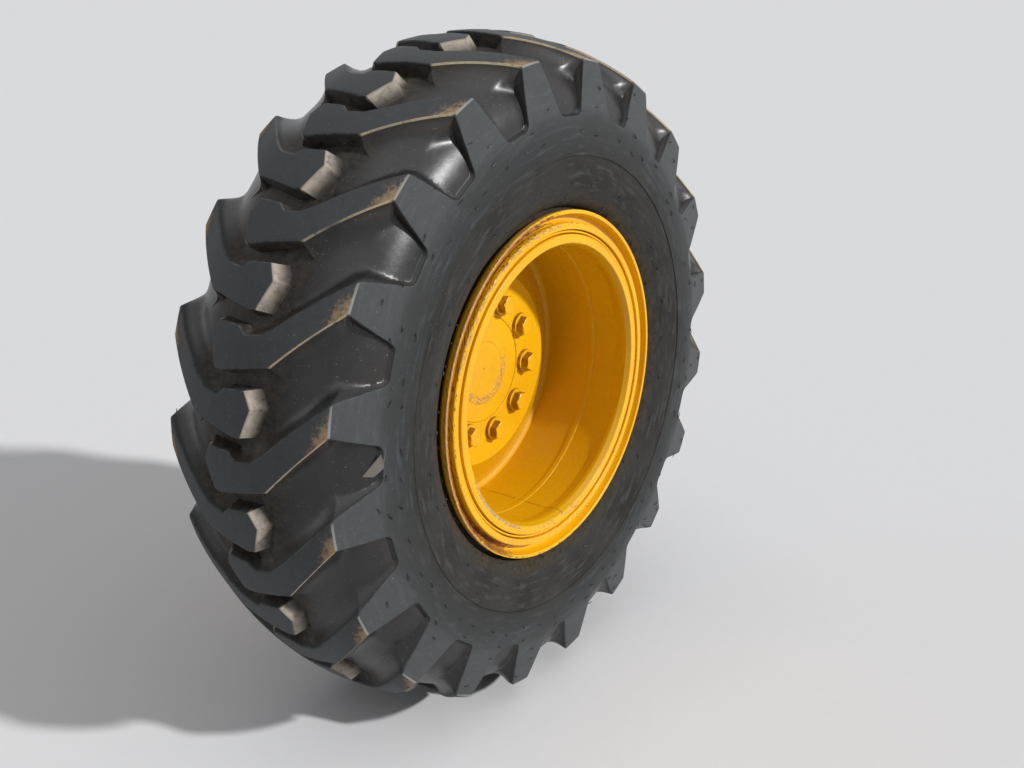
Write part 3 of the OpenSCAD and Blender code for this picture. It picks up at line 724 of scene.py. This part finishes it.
def around(shape, count, pcd, first_turn, height, spin=0.0):
    """Copies of a shape on a circle about the wheel's axis, its own Z facing out."""
    points, faces = shape
    all_points, all_faces = [], []
    for i in range(count):
        turn = math.radians(first_turn + i * 360 / count)
        own = math.radians(spin * (i * 7 % 11)) + turn
        x = points[:, 0] * math.cos(own) - points[:, 1] * math.sin(own) + pcd / 2 * math.cos(turn)
        z = points[:, 0] * math.sin(own) + points[:, 1] * math.cos(own) + pcd / 2 * math.sin(turn)
        all_points.append(np.column_stack([x, -(height + points[:, 2]), z]) * MM)
        all_faces += (faces + i * len(points)).tolist()
    return np.concatenate(all_points), all_faces


def fasteners(paint):
    """Wheel bolts on their washers."""
    washer_r, hole_r, seat = WASHER_D / 2, BOLT_D / 2 + 1, PLANE_OUT + DISC_OUT
    washer = lathed([(hole_r, 0), (washer_r, 0), (washer_r, WASHER_T - 1.6),
                     (washer_r - 0.5, WASHER_T - 0.5), (washer_r - 1.6, WASHER_T), (hole_r, WASHER_T)],
                    WASHER_TURNS)
    shank = WASHER_T + DISC_T + THREAD_PAST
    bolt = lathed([(0, -shank), (BOLT_D / 2, -shank), (BOLT_D / 2, 0)]) + hex_head()
    for name, shape, height, spin, sharp, node in (
            ("bolt_washer_rings", ring_solid(washer, closed=True), seat, 0, 38, "bolt_washers"),
            ("wheel_bolt_heads", ring_solid(bolt), seat + WASHER_T, 23, 20, "wheel_bolts")):
        points, faces = around(shape, BOLT_COUNT, BOLT_PCD, BOLT_TURN, height, spin)
        piece_from(name, points, faces, paint, "bolt_paint", node, sharp=sharp)


# Hub face, spindle and its splines

HUB_W, WORN_IN, WORN_OUT, ROOT_R = 16.0, 58.0, 76.0, 43.0
SPLINES, SPLINE_R, SPLINE_W, SPLINE_START, SPLINE_END = 24, 46.0, 5.0, -257.0, -355.0


def spindle(paint, steel):
    """Hub plate with its centre punch and worn ring, the journal behind it and the splined end."""
    turned("hub_and_journal", [
        (0, 12.4, 0), (0.8, 12.4, 0), (3.6, HUB_W, 0.6), (WORN_IN, HUB_W, 1), (WORN_IN + 2, HUB_W + 0.9, 1),
        (WORN_OUT - 3, HUB_W + 0.9, 1), (WORN_OUT, HUB_W, 1), (PILOT_R, HUB_W, 1.6), (PILOT_R, -3, 0.5),
        (178, -3, 1.5), (178, -33, 2), (86, -33, 6), (78, -37, 0), (78, -60.5, 1), (60, -60.5, 0),
        (60, SPLINE_START, 1.5), (ROOT_R, SPLINE_START, 0), (ROOT_R, SPLINE_END, 2.5), (0, SPLINE_END, 0)],
        paint, "spindle_steel", "wheel_spindle")
    turns = np.arange(SPLINES) * 2 * math.pi / SPLINES
    half = SPLINE_W / 2
    teeth = [(ROOT_R, -half / ROOT_R), (SPLINE_R, -half / SPLINE_R), (SPLINE_R, half / SPLINE_R),
             (ROOT_R, half / ROOT_R)]
    rho = np.tile([r for r, _ in teeth], SPLINES)
    angle = (turns[:, None] + np.array([a for _, a in teeth])).ravel()
    ends = ((0, SPLINE_END + 1), (0.95, SPLINE_END + 1), (1, SPLINE_END + 3), (1, SPLINE_START + 1),
            (0, SPLINE_START + 1))
    rows = [(share * rho, w) for share, w in ends]
    points, faces = around(ring_solid(lathed(rows, angle)), 1, 0, 0, PLANE_OUT)
    piece_from("splines", points, faces, steel, "spindle_steel", sharp=30)


# Vent hairs, left by the mould

HAIR_ROWS = ((367.5, 38, 8), (378, 150, 9), (409, 90, 12), (500, 62, 16), (528, 120, 16), (556, 95, 15),
             (585, 110, 15), (617, 100, 15))   # radius, spacing and length in mm
HAIR_SHAPE = ((0, -1.2, 1.15), (0.15, 1.6, 1.1), (0.6, 3.2, 0.9), (1, 1.8, 0.45))   # share, height, radius
SPREAD = 4.0      # how far a hair may start off its row, in mm
MISSING = 0.2     # share of the hairs that are torn off
RAY_W = 300       # distance out from which the tyre's surface is looked for
LEVEL = 0.75      # least part along the axle of the surface's direction under a hair
NEAR_TOP = 1.5    # how far below a lug's outer face a hair may still stand, in mm


def vent_hairs(material, surface):
    """Hairs that the mould's vents left, lying bent on the sidewalls and on the lugs' outer faces."""
    rng = np.random.default_rng(11)
    points, faces = [], []
    turns = [2 * math.pi * j / 5 for j in range(5)]
    for r, spacing, length in HAIR_ROWS:
        count = round(2 * math.pi * r / spacing)
        for side, i in [(side, i) for side in (1, -1) for i in range(count)]:
            hair_r = r + rng.uniform(-SPREAD, SPREAD)
            place = wheel_points(hair_r, (i + rng.uniform(-0.2, 0.2)) * 360 / count, side * RAY_W)
            size, lean = length * rng.uniform(0.6, 1.15), rng.uniform(-0.6, 0.6)
            skip = rng.random() < MISSING
            hit, normal, _, _ = surface.ray_cast(Vector(place.ravel()), Vector((0, side, 0)))
            if skip or hit is None or abs(normal.y) < LEVEL:
                continue
            hit_r, hit_w = math.hypot(hit.x, hit.z) / MM, abs(hit.y / MM + PLANE_OUT)
            if r > FOOT_R and hit_w < np.interp(hit_r, OUTER[::-1, 2], OUTER[::-1, 1]) - NEAR_TOP:
                continue
            normal = normal if normal.y * side < 0 else -normal
            round_wheel = normal.cross(Vector((hit.x, 0, hit.z))).normalized() * (1 if i % 3 else -1)
            along = (round_wheel + lean * round_wheel.cross(normal)).normalized()
            across = along.cross(normal)
            base = 5 * len(points)
            for share, height, thick in HAIR_SHAPE:
                middle = hit + along * (size * share * MM) + normal * (height * MM)
                points.append([middle + (across * math.cos(a) + normal * math.sin(a)) * thick * MM
                               for a in turns])
            faces += [[base + 5 * k + j, base + 5 * k + (j + 1) % 5, base + 5 * k + 5 + (j + 1) % 5,
                       base + 5 * k + 5 + j] for k in range(3) for j in range(5)]
            faces += [[base + 4 - j for j in range(5)], [base + 15 + j for j in range(5)]]
    piece_from("vent_hairs", [tuple(p) for ring in points for p in ring], faces, material, "tyre")


# Torn rubber at the end of one groove: degrees, radius and distance out of its two edges

TEAR_HELD = ((180.5, 567, 200.0), (178.9, 552, 205.5), (177.4, 538, 211.0), (175.8, 528.7, 218.9))
TEAR_FREE = ((180.5, 567, 200.0), (180.8, 551, 205.5), (179.5, 534, 213.0), (175.8, 528.7, 218.9))
LIFT, CURL = 1.5, 1.6   # in mm: how far its middle stands off, how much more at each step to its free edge
THIN, THICK = 0.6, 1.6  # in mm: thickness at its ends, how much more in its middle


def torn_flap(material):
    """A flap of torn rubber that stands off the groove's end, held along one edge."""
    places, known = np.linspace(0, 1, 13), np.linspace(0, 1, len(TEAR_HELD))
    held, free = (np.column_stack([np.interp(places, known, column) for column in zip(*edge)])
                  for edge in (TEAR_HELD, TEAR_FREE))
    rings = []
    for place, a, b in zip(places, held, free):
        lift = math.sin(math.pi * place)
        rows = [a + (b - a) * share for share in (0, 0.35, 0.7, 1)]
        top = [(*row[:2], row[2] + lift * (LIFT + CURL * j)) for j, row in enumerate(rows)]
        under = [(degrees, r, w - THIN - THICK * lift) for degrees, r, w in top[::-1]]
        degrees, r, w = np.array(top + under).T
        rings.append(wheel_points(r, degrees, w))
    tips = [np.tile(ring.mean(0), (len(ring), 1)) for ring in (rings[0], rings[-1])]
    points, faces = ring_solid([tips[0]] + rings + [tips[1]])
    piece_from("torn_flap", points, faces.tolist(), material, "tyre", sharp=50)


# Finishes

class Surface:
    """The node tree of one material, with short ways to add to it."""

    def __init__(self, name, specular=0.5, metallic=0.0):
        self.material = bpy.data.materials.new(name)
        self.material.use_nodes = True
        self.tree = self.material.node_tree
        self.shader = self.tree.nodes["Principled BSDF"]
        self.shader.inputs["Specular IOR Level"].default_value = specular
        self.shader.inputs["Metallic"].default_value = metallic
        self.place = self.add("ShaderNodeTexCoord").outputs["Object"]
        x, y, z = self.add("ShaderNodeSeparateXYZ", {0: self.place}).outputs
        r = self.math("SQRT", self.total(self.times(x, x), self.times(z, z)))
        self.r = self.math("DIVIDE", r, MM)
        self.w = self.math("SUBTRACT", self.math("DIVIDE", y, -MM), PLANE_OUT)
        self.cos = self.math("DIVIDE", x, self.math("MAXIMUM", r, 1e-4))
        self.sin = self.math("DIVIDE", z, self.math("MAXIMUM", r, 1e-4))
        self.heights = []

    def add(self, kind, inputs=(), **settings):
        node = self.tree.nodes.new(kind)
        for key, value in settings.items():
            setattr(node, key, value)
        for key, value in dict(inputs).items():
            self.feed(node.inputs[key], value)
        return node

    def feed(self, socket, value):
        if isinstance(value, bpy.types.NodeSocket):
            self.tree.links.new(value, socket)
        elif socket.type == "RGBA":
            socket.default_value = (*value, 1)
        else:
            socket.default_value = value

    def math(self, operation, a, b=0.0):
        return self.add("ShaderNodeMath", {0: a, 1: b}, operation=operation).outputs[0]

    def chain(self, operation, first, *others):
        for other in others:
            first = self.math(operation, first, other)
        return first

    def times(self, *factors):
        return self.chain("MULTIPLY", *factors)

    def total(self, *addends):
        return self.chain("ADD", *addends)

    def step(self, value, low, high):
        """Smooth step from 0 at low to 1 at high, falling where low is over high."""
        return self.add("ShaderNodeMapRange", {0: value, 1: low, 2: high},
                        interpolation_type="SMOOTHSTEP").outputs[0]

    def mask(self, *terms):
        """Product of terms, of which a tuple of value, low and high is a smooth step."""
        return self.times(*(self.step(*term) if isinstance(term, tuple) else term for term in terms))

    def band(self, value, low, high, soft):
        return self.mask((value, low - soft, low + soft), (value, high + soft, high - soft))

    def arc(self, degrees, half, soft=18.0):
        """1 within an arc about the wheel's axis, falling to 0 past its ends."""
        a = math.radians(degrees)
        near = self.total(self.times(self.cos, math.cos(a)), self.times(self.sin, math.sin(a)))
        return self.step(near, math.cos(math.radians(min(half + soft, 179))), math.cos(math.radians(half)))

    def noise(self, scale, detail=3.0, roughness=0.55, vector=None):
        inputs = {"Vector": self.place if vector is None else vector, "Scale": scale, "Detail": detail,
                  "Roughness": roughness}
        return self.add("ShaderNodeTexNoise", inputs).outputs[0]

    def streaks(self, turns, per_mm, detail, offset=0.0):
        """Noise drawn out along the circles about the wheel's axis."""
        up = self.total(self.times(self.w, per_mm), offset)
        vector = self.add("ShaderNodeCombineXYZ", {0: self.times(self.cos, turns),
                                                   1: self.total(self.times(self.sin, turns), up),
                                                   2: self.times(self.r, per_mm)}).outputs[0]
        return self.noise(1.0, detail, vector=vector)

    def mix(self, factor, a, b):
        return self.add("ShaderNodeMix", {0: factor, 6: a, 7: b}, data_type="RGBA").outputs[2]

    def cover(self, tone, *terms):
        """Lays a tone over the colour so far, as far as the terms' mask lets it."""
        self.colour = self.mix(self.mask(*terms), self.colour, tone)

    def zone(self, name):
        return self.add("ShaderNodeAttribute", attribute_name=name).outputs["Fac"]

    def raise_by(self, *factors):
        """Adds a height in mm to the surface's relief."""
        self.heights.append(self.times(*factors))

    def finish(self, roughness):
        self.feed(self.shader.inputs["Base Color"], self.colour)
        self.feed(self.shader.inputs["Roughness"], roughness)
        if self.heights:
            bump = self.add("ShaderNodeBump", {"Height": self.total(*self.heights), "Distance": MM,
                                               "Strength": 1.0})
            self.feed(self.shader.inputs["Normal"], bump.outputs[0])
        return self.material


TAN, KHAKI, EDGE_DUST_AND_HIGHLIGHT = (0.40, 0.27, 0.15), (0.075, 0.055, 0.034), (0.62, 0.49, 0.30)
SLOPE_TAN, BROWN_FILM_AND_BOUNCE = (0.46, 0.40, 0.33), (0.044, 0.035, 0.027)
GROOVE_DUST, SCUFF, WALL_FILM = (0.105, 0.088, 0.072), (0.085, 0.088, 0.090), (0.040, 0.039, 0.037)
SHOULDER_HIGHLIGHT, BRINK_WEAR_AND_HIGHLIGHT, SPECKLE = (0.30, 0.30, 0.285), (0.115, 0.112, 0.105), (0.30, 0.29, 0.27)


def rubber_finish():
    """Black rubber: glossy in the grooves, duller and dusty on the lugs, dusty at the rim, with painted
    sheen, highlights and bounce light.
    """
    s = Surface("rubber")
    drop, nose, leading, inner = (s.zone(name) for name in ("drop", "nose", "leading", "inner"))
    broad, fine, grit = s.noise(9), s.noise(70, 5, 0.65), s.noise(420, 3, 0.7)
    on_top, groove = (drop, 0.05, 0.0), s.step(drop, 0.1, 0.5)
    lug_top = s.mask(on_top, (s.r, 535, 550))
    s.colour = s.mix(broad, (0.019, 0.018, 0.016), (0.028, 0.026, 0.023))
    # Lighter, slightly bluish grey on the outer sidewall: partly its own tone, partly painted sky sheen.
    s.cover((0.039, 0.042, 0.044), (s.r, 440, 500), 0.85)
    s.cover(s.mix(fine, (0.044, 0.047, 0.051), (0.074, 0.076, 0.079)), lug_top)
    # Lighter bluish grey on the lugs' outer faces: partly the rubber's tone, partly painted sky sheen.
    flank = s.mix(fine, (0.055, 0.059, 0.061), (0.076, 0.080, 0.082))
    s.cover(flank, on_top, (s.r, 490, 570), (inner, 0, -5))
    s.cover((0.009, 0.009, 0.010), groove)
    s.cover(BROWN_FILM_AND_BOUNCE, groove, (broad, 0.35, 0.75), 0.3)
    s.cover(GROOVE_DUST, groove, (inner, 45, 150), (fine, 0.15, 0.7), 0.6)
    scuffs = s.streaks(9, 0.10, 6)
    s.cover(SCUFF, (scuffs, 0.48, 0.72), (s.r, 375, 400), on_top, (inner, 20, -5), 0.55)
    # Brown on the leading bars' walls below their edge: partly dust, partly painted warm bounce light from
    # the ground.
    s.cover(BROWN_FILM_AND_BOUNCE, (drop, 0.04, 0.14), (drop, 0.85, 0.25), (leading, -4, 2), (leading, 75, 8),
            (inner, 150, 60), (broad, 0.25, 0.6), 0.8)
    slopes = s.mask((nose, 0.2, 0.9), (drop, 0.01, 0.06), (drop, 1.0, 0.0))
    s.cover(SLOPE_TAN, slopes, (fine, 0.1, 0.6))
    patch = s.mask(lug_top, (inner, 70, 0), (leading, -60, 0), (inner, -2, 1))
    ragged = s.total(s.times(patch, 0.45), s.times(s.noise(130, 4, 0.7), 0.9))
    s.cover(TAN, patch, (ragged, 0.62, 0.86), 0.75)
    # Cream line along the leading bars' rounded top edges: partly dust, partly painted highlight.
    s.cover(EDGE_DUST_AND_HIGHLIGHT, s.band(leading, -1.4, 1.5, 0.6), s.band(inner, 2, 118, 4), (broad, 0.2, 0.5),
            (drop, 0.2, 0.1), (s.r, 560, 600), (fine, 0.25, 0.5))
    # Light line along the shoulder's edge near the leading corner: painted highlight of the rounded edge.
    s.cover(SHOULDER_HIGHLIGHT, lug_top, s.band(inner, -3.0, 1.2, 0.8), (leading, -75, -8), (fine, 0.15, 0.45), 0.8)
    # Light line just below every lug's top edge: partly edge wear, partly painted highlight.
    s.cover(BRINK_WEAR_AND_HIGHLIGHT, (drop, 0.004, 0.03), (drop, 0.16, 0.05), (fine, 0.3, 0.6), 0.6)
    s.cover(SPECKLE, (s.noise(300, 2, 0.6), 0.67, 0.72), (fine, 0.42, 0.62), 0.6)
    beside_rim = s.mask((s.r, 405, 370), (s.math("ABSOLUTE", s.w), 150, 178))
    s.cover(KHAKI, beside_rim, (fine, 0.3, 0.62), 0.85)
    s.cover(WALL_FILM, (s.r, 560, 520), (broad, 0.35, 0.65), 0.55)
    deep_end = s.mask(groove, (inner, 120, 40))
    s.feed(s.shader.inputs["Specular IOR Level"], s.total(s.times(deep_end, 0.38), 0.10))
    s.raise_by(grit, 0.12)
    s.raise_by(fine, 0.2)
    s.raise_by(s.band(s.w, -0.5, 0.5, 0.5), 0.5, lug_top)
    dusty = s.total(slopes, patch, beside_rim)
    gloss = s.total(s.times(groove, -0.12), s.times(deep_end, -0.07), s.times(fine, 0.22), 0.41,
                    s.times(dusty, 0.35))
    return s.finish(s.math("MINIMUM", gloss, 0.9))


YELLOW, YELLOW_DEEP = (0.87, 0.465, 0.004), (0.80, 0.405, 0.003)
RUST, RUST_DARK, PRIMER = (0.36, 0.115, 0.012), (0.13, 0.042, 0.010), (0.50, 0.26, 0.11)
BARE, GRIME, PALE_DIRT = (0.34, 0.33, 0.30), (0.16, 0.095, 0.02), (0.62, 0.36, 0.06)
PAINTED_SHADE_YELLOW, BOLT_RUST_AND_SHADE, SEAM_BROWN = (0.60, 0.325, 0.001), (0.17, 0.060, 0.012), (0.20, 0.07, 0.01)

# Painted shade inside the barrel and on the disc's slope: radii where it starts and is full, amount
PAINTED_SHADE_ZONES = {"rim": (291, 290, 0.72), "barrel": (291, 290, 0.72), "disc": (205, 212, 0.55)}

# Worn places of each painted piece: colour, radii, distances out, middle and half of the arc in degrees,
# threshold of the noise that breaks them up, how far they are drawn out round the wheel
WEAR = {
    "rim": [(PRIMER, (289, 296), (196, 204), 224, 14, 0.47, 30),
            (BARE, (289, 293.5), (196, 204), 228, 9, 0.45, 40),
            (GRIME, (288, 291), (196, 204), 75, 7, 0.5, 60),
            (PRIMER, (286, 291), (120, 196), 300, 12, 0.60, 30),
            (PRIMER, (287, 308), (200, 204), 275, 14, 0.56, 26)],
    "collar": [(PRIMER, (322, 331), (198, 204), 125, 32, 0.50, 34),
               (RUST_DARK, (326, 331), (188, 204), 135, 60, 0.56, 40),
               (PRIMER, (314, 331), (198, 204), 262, 26, 0.58, 30)],
    "flange": [(RUST, (329, 353), (180, 206), 170, 66, 0.35, 20),
               (RUST_DARK, (329, 351), (180, 206), 165, 66, 0.46, 30),
               (PRIMER, (352, 358), (198, 206), 165, 58, 0.42, 50),
               (RUST_DARK, (354, 358), (190, 206), 170, 100, 0.58, 60),
               (RUST_DARK, (350, 358), (198, 206), 262, 16, 0.56, 50)],
    "lock": [(GRIME, (300, 320), (170, 200), 180, 179, 0.44, 12)],
    "disc": [(PRIMER, (113, 121), (10, 20), 20, 22, 0.56, 14),
             (RUST_DARK, (114, 118), (10, 20), 18, 25, 0.62, 20)],
    "barrel": [(GRIME, (270, 290), (-60, 0), 180, 179, 0.40, 20)],
    "hub": [(PRIMER, (57, 77), (14, 20), 295, 72, 0.50, 8),
            (RUST_DARK, (60, 76), (14, 20), 290, 60, 0.60, 9)],
    "back": [(RUST_DARK, (286, 358), (-206, -150), 200, 179, 0.60, 16),
             (GRIME, (286, 358), (-206, -150), 20, 179, 0.5, 8)],
    "bolt": [(RUST, (110, 175), (10, 44), 180, 179, 0.60, 30)],
}


def paint_finish(name):
    """Yellow paint with slight changes of tone, fine orange peel, dirt, chips and its worn places, and
    painted shade in places.
    """
    s = Surface("paint_" + name, specular=0.4)
    broad, fine, grit = s.noise(5), s.noise(45, 4, 0.6), s.noise(600, 2, 0.6)
    s.colour = s.mix(s.step(broad, 0.3, 0.7), YELLOW_DEEP, YELLOW)
    s.cover(PALE_DIRT, (fine, 0.5, 0.8), 0.25)
    s.cover(RUST_DARK, (s.noise(160, 2, 0.5), 0.70, 0.74), (broad, 0.45, 0.6), 0.7)
    roughness = s.total(s.times(fine, 0.16), 0.45 if name == "barrel" else 0.20)
    for i, (tone, radii, outs, middle, half, threshold, turns) in enumerate(WEAR[name]):
        where = s.times(s.band(s.r, *radii, 0.9), s.band(s.w, *outs, 1.0), s.arc(middle, half))
        broken = s.total(s.streaks(turns, 0.30, 5, 7.3 * i), s.times(s.total(where, -1.0), 0.35))
        worn = s.mask((broken, threshold - 0.02, threshold + 0.05), (where, 0.02, 0.3))
        s.cover(tone, worn, 0.9)
        roughness = s.total(roughness, s.times(worn, 0.4))
        s.raise_by(worn, s.total(grit, -0.9), 0.3)
    if name == "bolt":
        # Brown on the upright sides of the bolts and washers: partly rust, partly painted shade.
        normal = s.add("ShaderNodeNewGeometry").outputs["Normal"]
        upright = s.math("ABSOLUTE", s.add("ShaderNodeSeparateXYZ", {0: normal}).outputs[1])
        sides = s.mask((upright, 0.6, 0.2), (fine, 0.25, 0.5), 0.75)
        s.cover(BOLT_RUST_AND_SHADE, sides)
        roughness = s.total(roughness, s.times(sides, 0.3))
    # Painted shade inside the barrel and on the disc's slope.
    if name in PAINTED_SHADE_ZONES:
        low, high, amount = PAINTED_SHADE_ZONES[name]
        s.cover(PAINTED_SHADE_YELLOW, (s.r, low, high), amount)
    if name == "rim":
        in_barrel = s.step(s.r, 291, 290)
        turn = s.total(s.math("ARCTAN2", s.sin, s.cos), math.radians(360 - SEAM_TURN))
        off = s.math("ABSOLUTE", s.times(turn, BARREL_R))
        s.cover(SEAM_BROWN, in_barrel, (off, 1.6, 0.4), (s.noise(18), 0.36, 0.5), 0.75)
        s.raise_by(in_barrel, s.band(off, 1.5, 5, 1.0), 0.5)
    s.raise_by(fine, 0.10)
    s.raise_by(grit, 0.02)
    return s.finish(s.math("MINIMUM", roughness, 0.95))


def steel_finish(name, colour, rust=0.3):
    """Bare steel with a brown film and streaks."""
    s = Surface(name, metallic=0.75)
    broad, fine = s.noise(22), s.noise(120, 5, 0.7)
    s.colour = s.mix(s.step(fine, 0.3, 0.7), colour, tuple(0.6 * c for c in colour))
    s.cover((0.12, 0.05, 0.02), (broad, 0.5, 0.7), rust)
    s.raise_by(fine, 0.08)
    return s.finish(s.total(s.times(fine, 0.3), 0.25))


def plastic_finish(name, colour, roughness=0.5):
    """Moulded rubber or plastic with dust."""
    s = Surface(name)
    fine = s.noise(140, 4, 0.6)
    s.colour = s.mix(s.mask((fine, 0.45, 0.75), 0.35), colour, (0.12, 0.10, 0.08))
    s.raise_by(fine, 0.1)
    return s.finish(s.total(s.times(fine, 0.2), roughness - 0.1))


# Camera, floor and light; the view was solved from the two rims that the photograph shows

CAMERA_PLACE = Vector((-1.8766, -1.7121, 0.7671))
AZIMUTH, ELEVATION, ROLL = (math.radians(degrees) for degrees in (53.72, 18.62, 0.32))
LENS, SENSOR = 41.71, 36.0
NEAREST, FARTHEST = 0.05, 1000   # range that the camera shows, in metres


def camera():
    """The camera at the photograph's view."""
    data = bpy.data.cameras.new("camera")
    data.lens, data.sensor_width, data.sensor_fit = LENS, SENSOR, "HORIZONTAL"
    data.clip_start, data.clip_end = NEAREST, FARTHEST
    turn = (Matrix.Rotation(-AZIMUTH, 4, "Z") @ Matrix.Rotation(math.pi / 2 - ELEVATION, 4, "X")
            @ Matrix.Rotation(ROLL, 4, "Z"))
    view = placed("camera", data)
    view.matrix_world = Matrix.Translation(CAMERA_PLACE) @ turn
    bpy.context.scene.camera = view


BACKDROP = (0.80, 0.81, 0.83)   # colour seen behind the wheel
EVEN, EVEN_STRENGTH = (0.93, 0.96, 1), 0.12   # light from all round
FLOOR_SIZE = 600   # in metres
LAMPS = (("key", (0.23, -0.86, 0.46), 2.9, 3), ("overhead", (-0.22, -0.25, 0.94), 0.78, 75),
         ("back", (-0.5, 0.8, 0.35), 0.25, 40))   # name, direction to it, energy, angle in degrees


def lamp(name, towards, energy, angle):
    sun = bpy.data.lights.new(name, "SUN")
    sun.energy, sun.angle = energy, math.radians(angle)
    placed(name, sun).rotation_euler = Vector(towards).to_track_quat("Z", "Y").to_euler()


def stage():
    """Pale floor, a key light on the outer side, a wide soft one above, a weak one behind, pale backdrop."""
    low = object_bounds()[0][2]
    bpy.ops.mesh.primitive_plane_add(size=FLOOR_SIZE, location=(0, 0, low))
    floor = bpy.context.object
    floor.name = "floor"
    s = Surface("floor", specular=0.0)
    s.colour = s.mix(s.noise(30, 4), (0.86, 0.86, 0.87), (0.89, 0.89, 0.90))
    floor.data.materials.append(s.finish(0.9))
    floor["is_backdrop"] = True
    for row in LAMPS:
        lamp(*row)
    world = bpy.data.worlds.new("world")
    world.use_nodes = True
    nodes, links = world.node_tree.nodes, world.node_tree.links
    path, seen_or_glossy, mixer, seen = (nodes.new("ShaderNode" + kind) for kind in (
        "LightPath", "Math", "MixShader", "Background"))
    even = nodes["Background"]
    even.inputs["Color"].default_value = (*EVEN, 1)
    even.inputs["Strength"].default_value = EVEN_STRENGTH
    seen.inputs["Color"].default_value = (*BACKDROP, 1)
    seen_or_glossy.operation = "MAXIMUM"
    for start, end in ((path.outputs["Is Camera Ray"], seen_or_glossy.inputs[0]),
                       (path.outputs["Is Glossy Ray"], seen_or_glossy.inputs[1]),
                       (seen_or_glossy.outputs[0], mixer.inputs[0]),
                       (even.outputs[0], mixer.inputs[1]), (seen.outputs[0], mixer.inputs[2]),
                       (mixer.outputs[0], nodes["World Output"].inputs["Surface"])):
        links.new(start, end)
    bpy.context.scene.world = world
    bpy.context.scene.view_settings.view_transform = "Standard"


def finish_node(name, material, bevel=0.0):
    """A CAD node that stays, with its finish and softened edges."""
    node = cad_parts[name]
    if not node.data.materials:
        node.data.materials.append(material)
    for slot in node.material_slots:
        slot.material = material
    if bevel:
        edge = node.modifiers.new("edges", "BEVEL")
        edge.width, edge.segments, edge.angle_limit = bevel * MM, 2, math.radians(40)
        edge.limit_method, edge.harden_normals = "ANGLE", True


camera()
rubber = rubber_finish()
paint = {name: paint_finish(name) for name in WEAR}
steel = steel_finish("bare_steel", (0.42, 0.41, 0.40))
vent_hairs(plastic_finish("hair_rubber", (0.006, 0.006, 0.006)), tyre(rubber))
torn_flap(plastic_finish("torn_rubber", (0.13, 0.115, 0.095), 0.6))
rim(paint)
disc(paint["disc"])
disc_welds(paint["barrel"])
fasteners(paint["bolt"])
spindle(paint["hub"], steel)
finish_node("valve_stem", steel_finish("brass", (0.55, 0.36, 0.12), 0.2), 0.4)
finish_node("valve_cap", plastic_finish("cap_plastic", (0.02, 0.02, 0.02)), 0.6)
finish_node("spindle_housing", paint["back"], 2.0)
finish_node("seal_cover", paint["back"], 1.0)
finish_node("shaft_seal", plastic_finish("seal_rubber", (0.015, 0.015, 0.015), 0.4))
finish_node("cover_bolts", steel, 0.5)
stage()
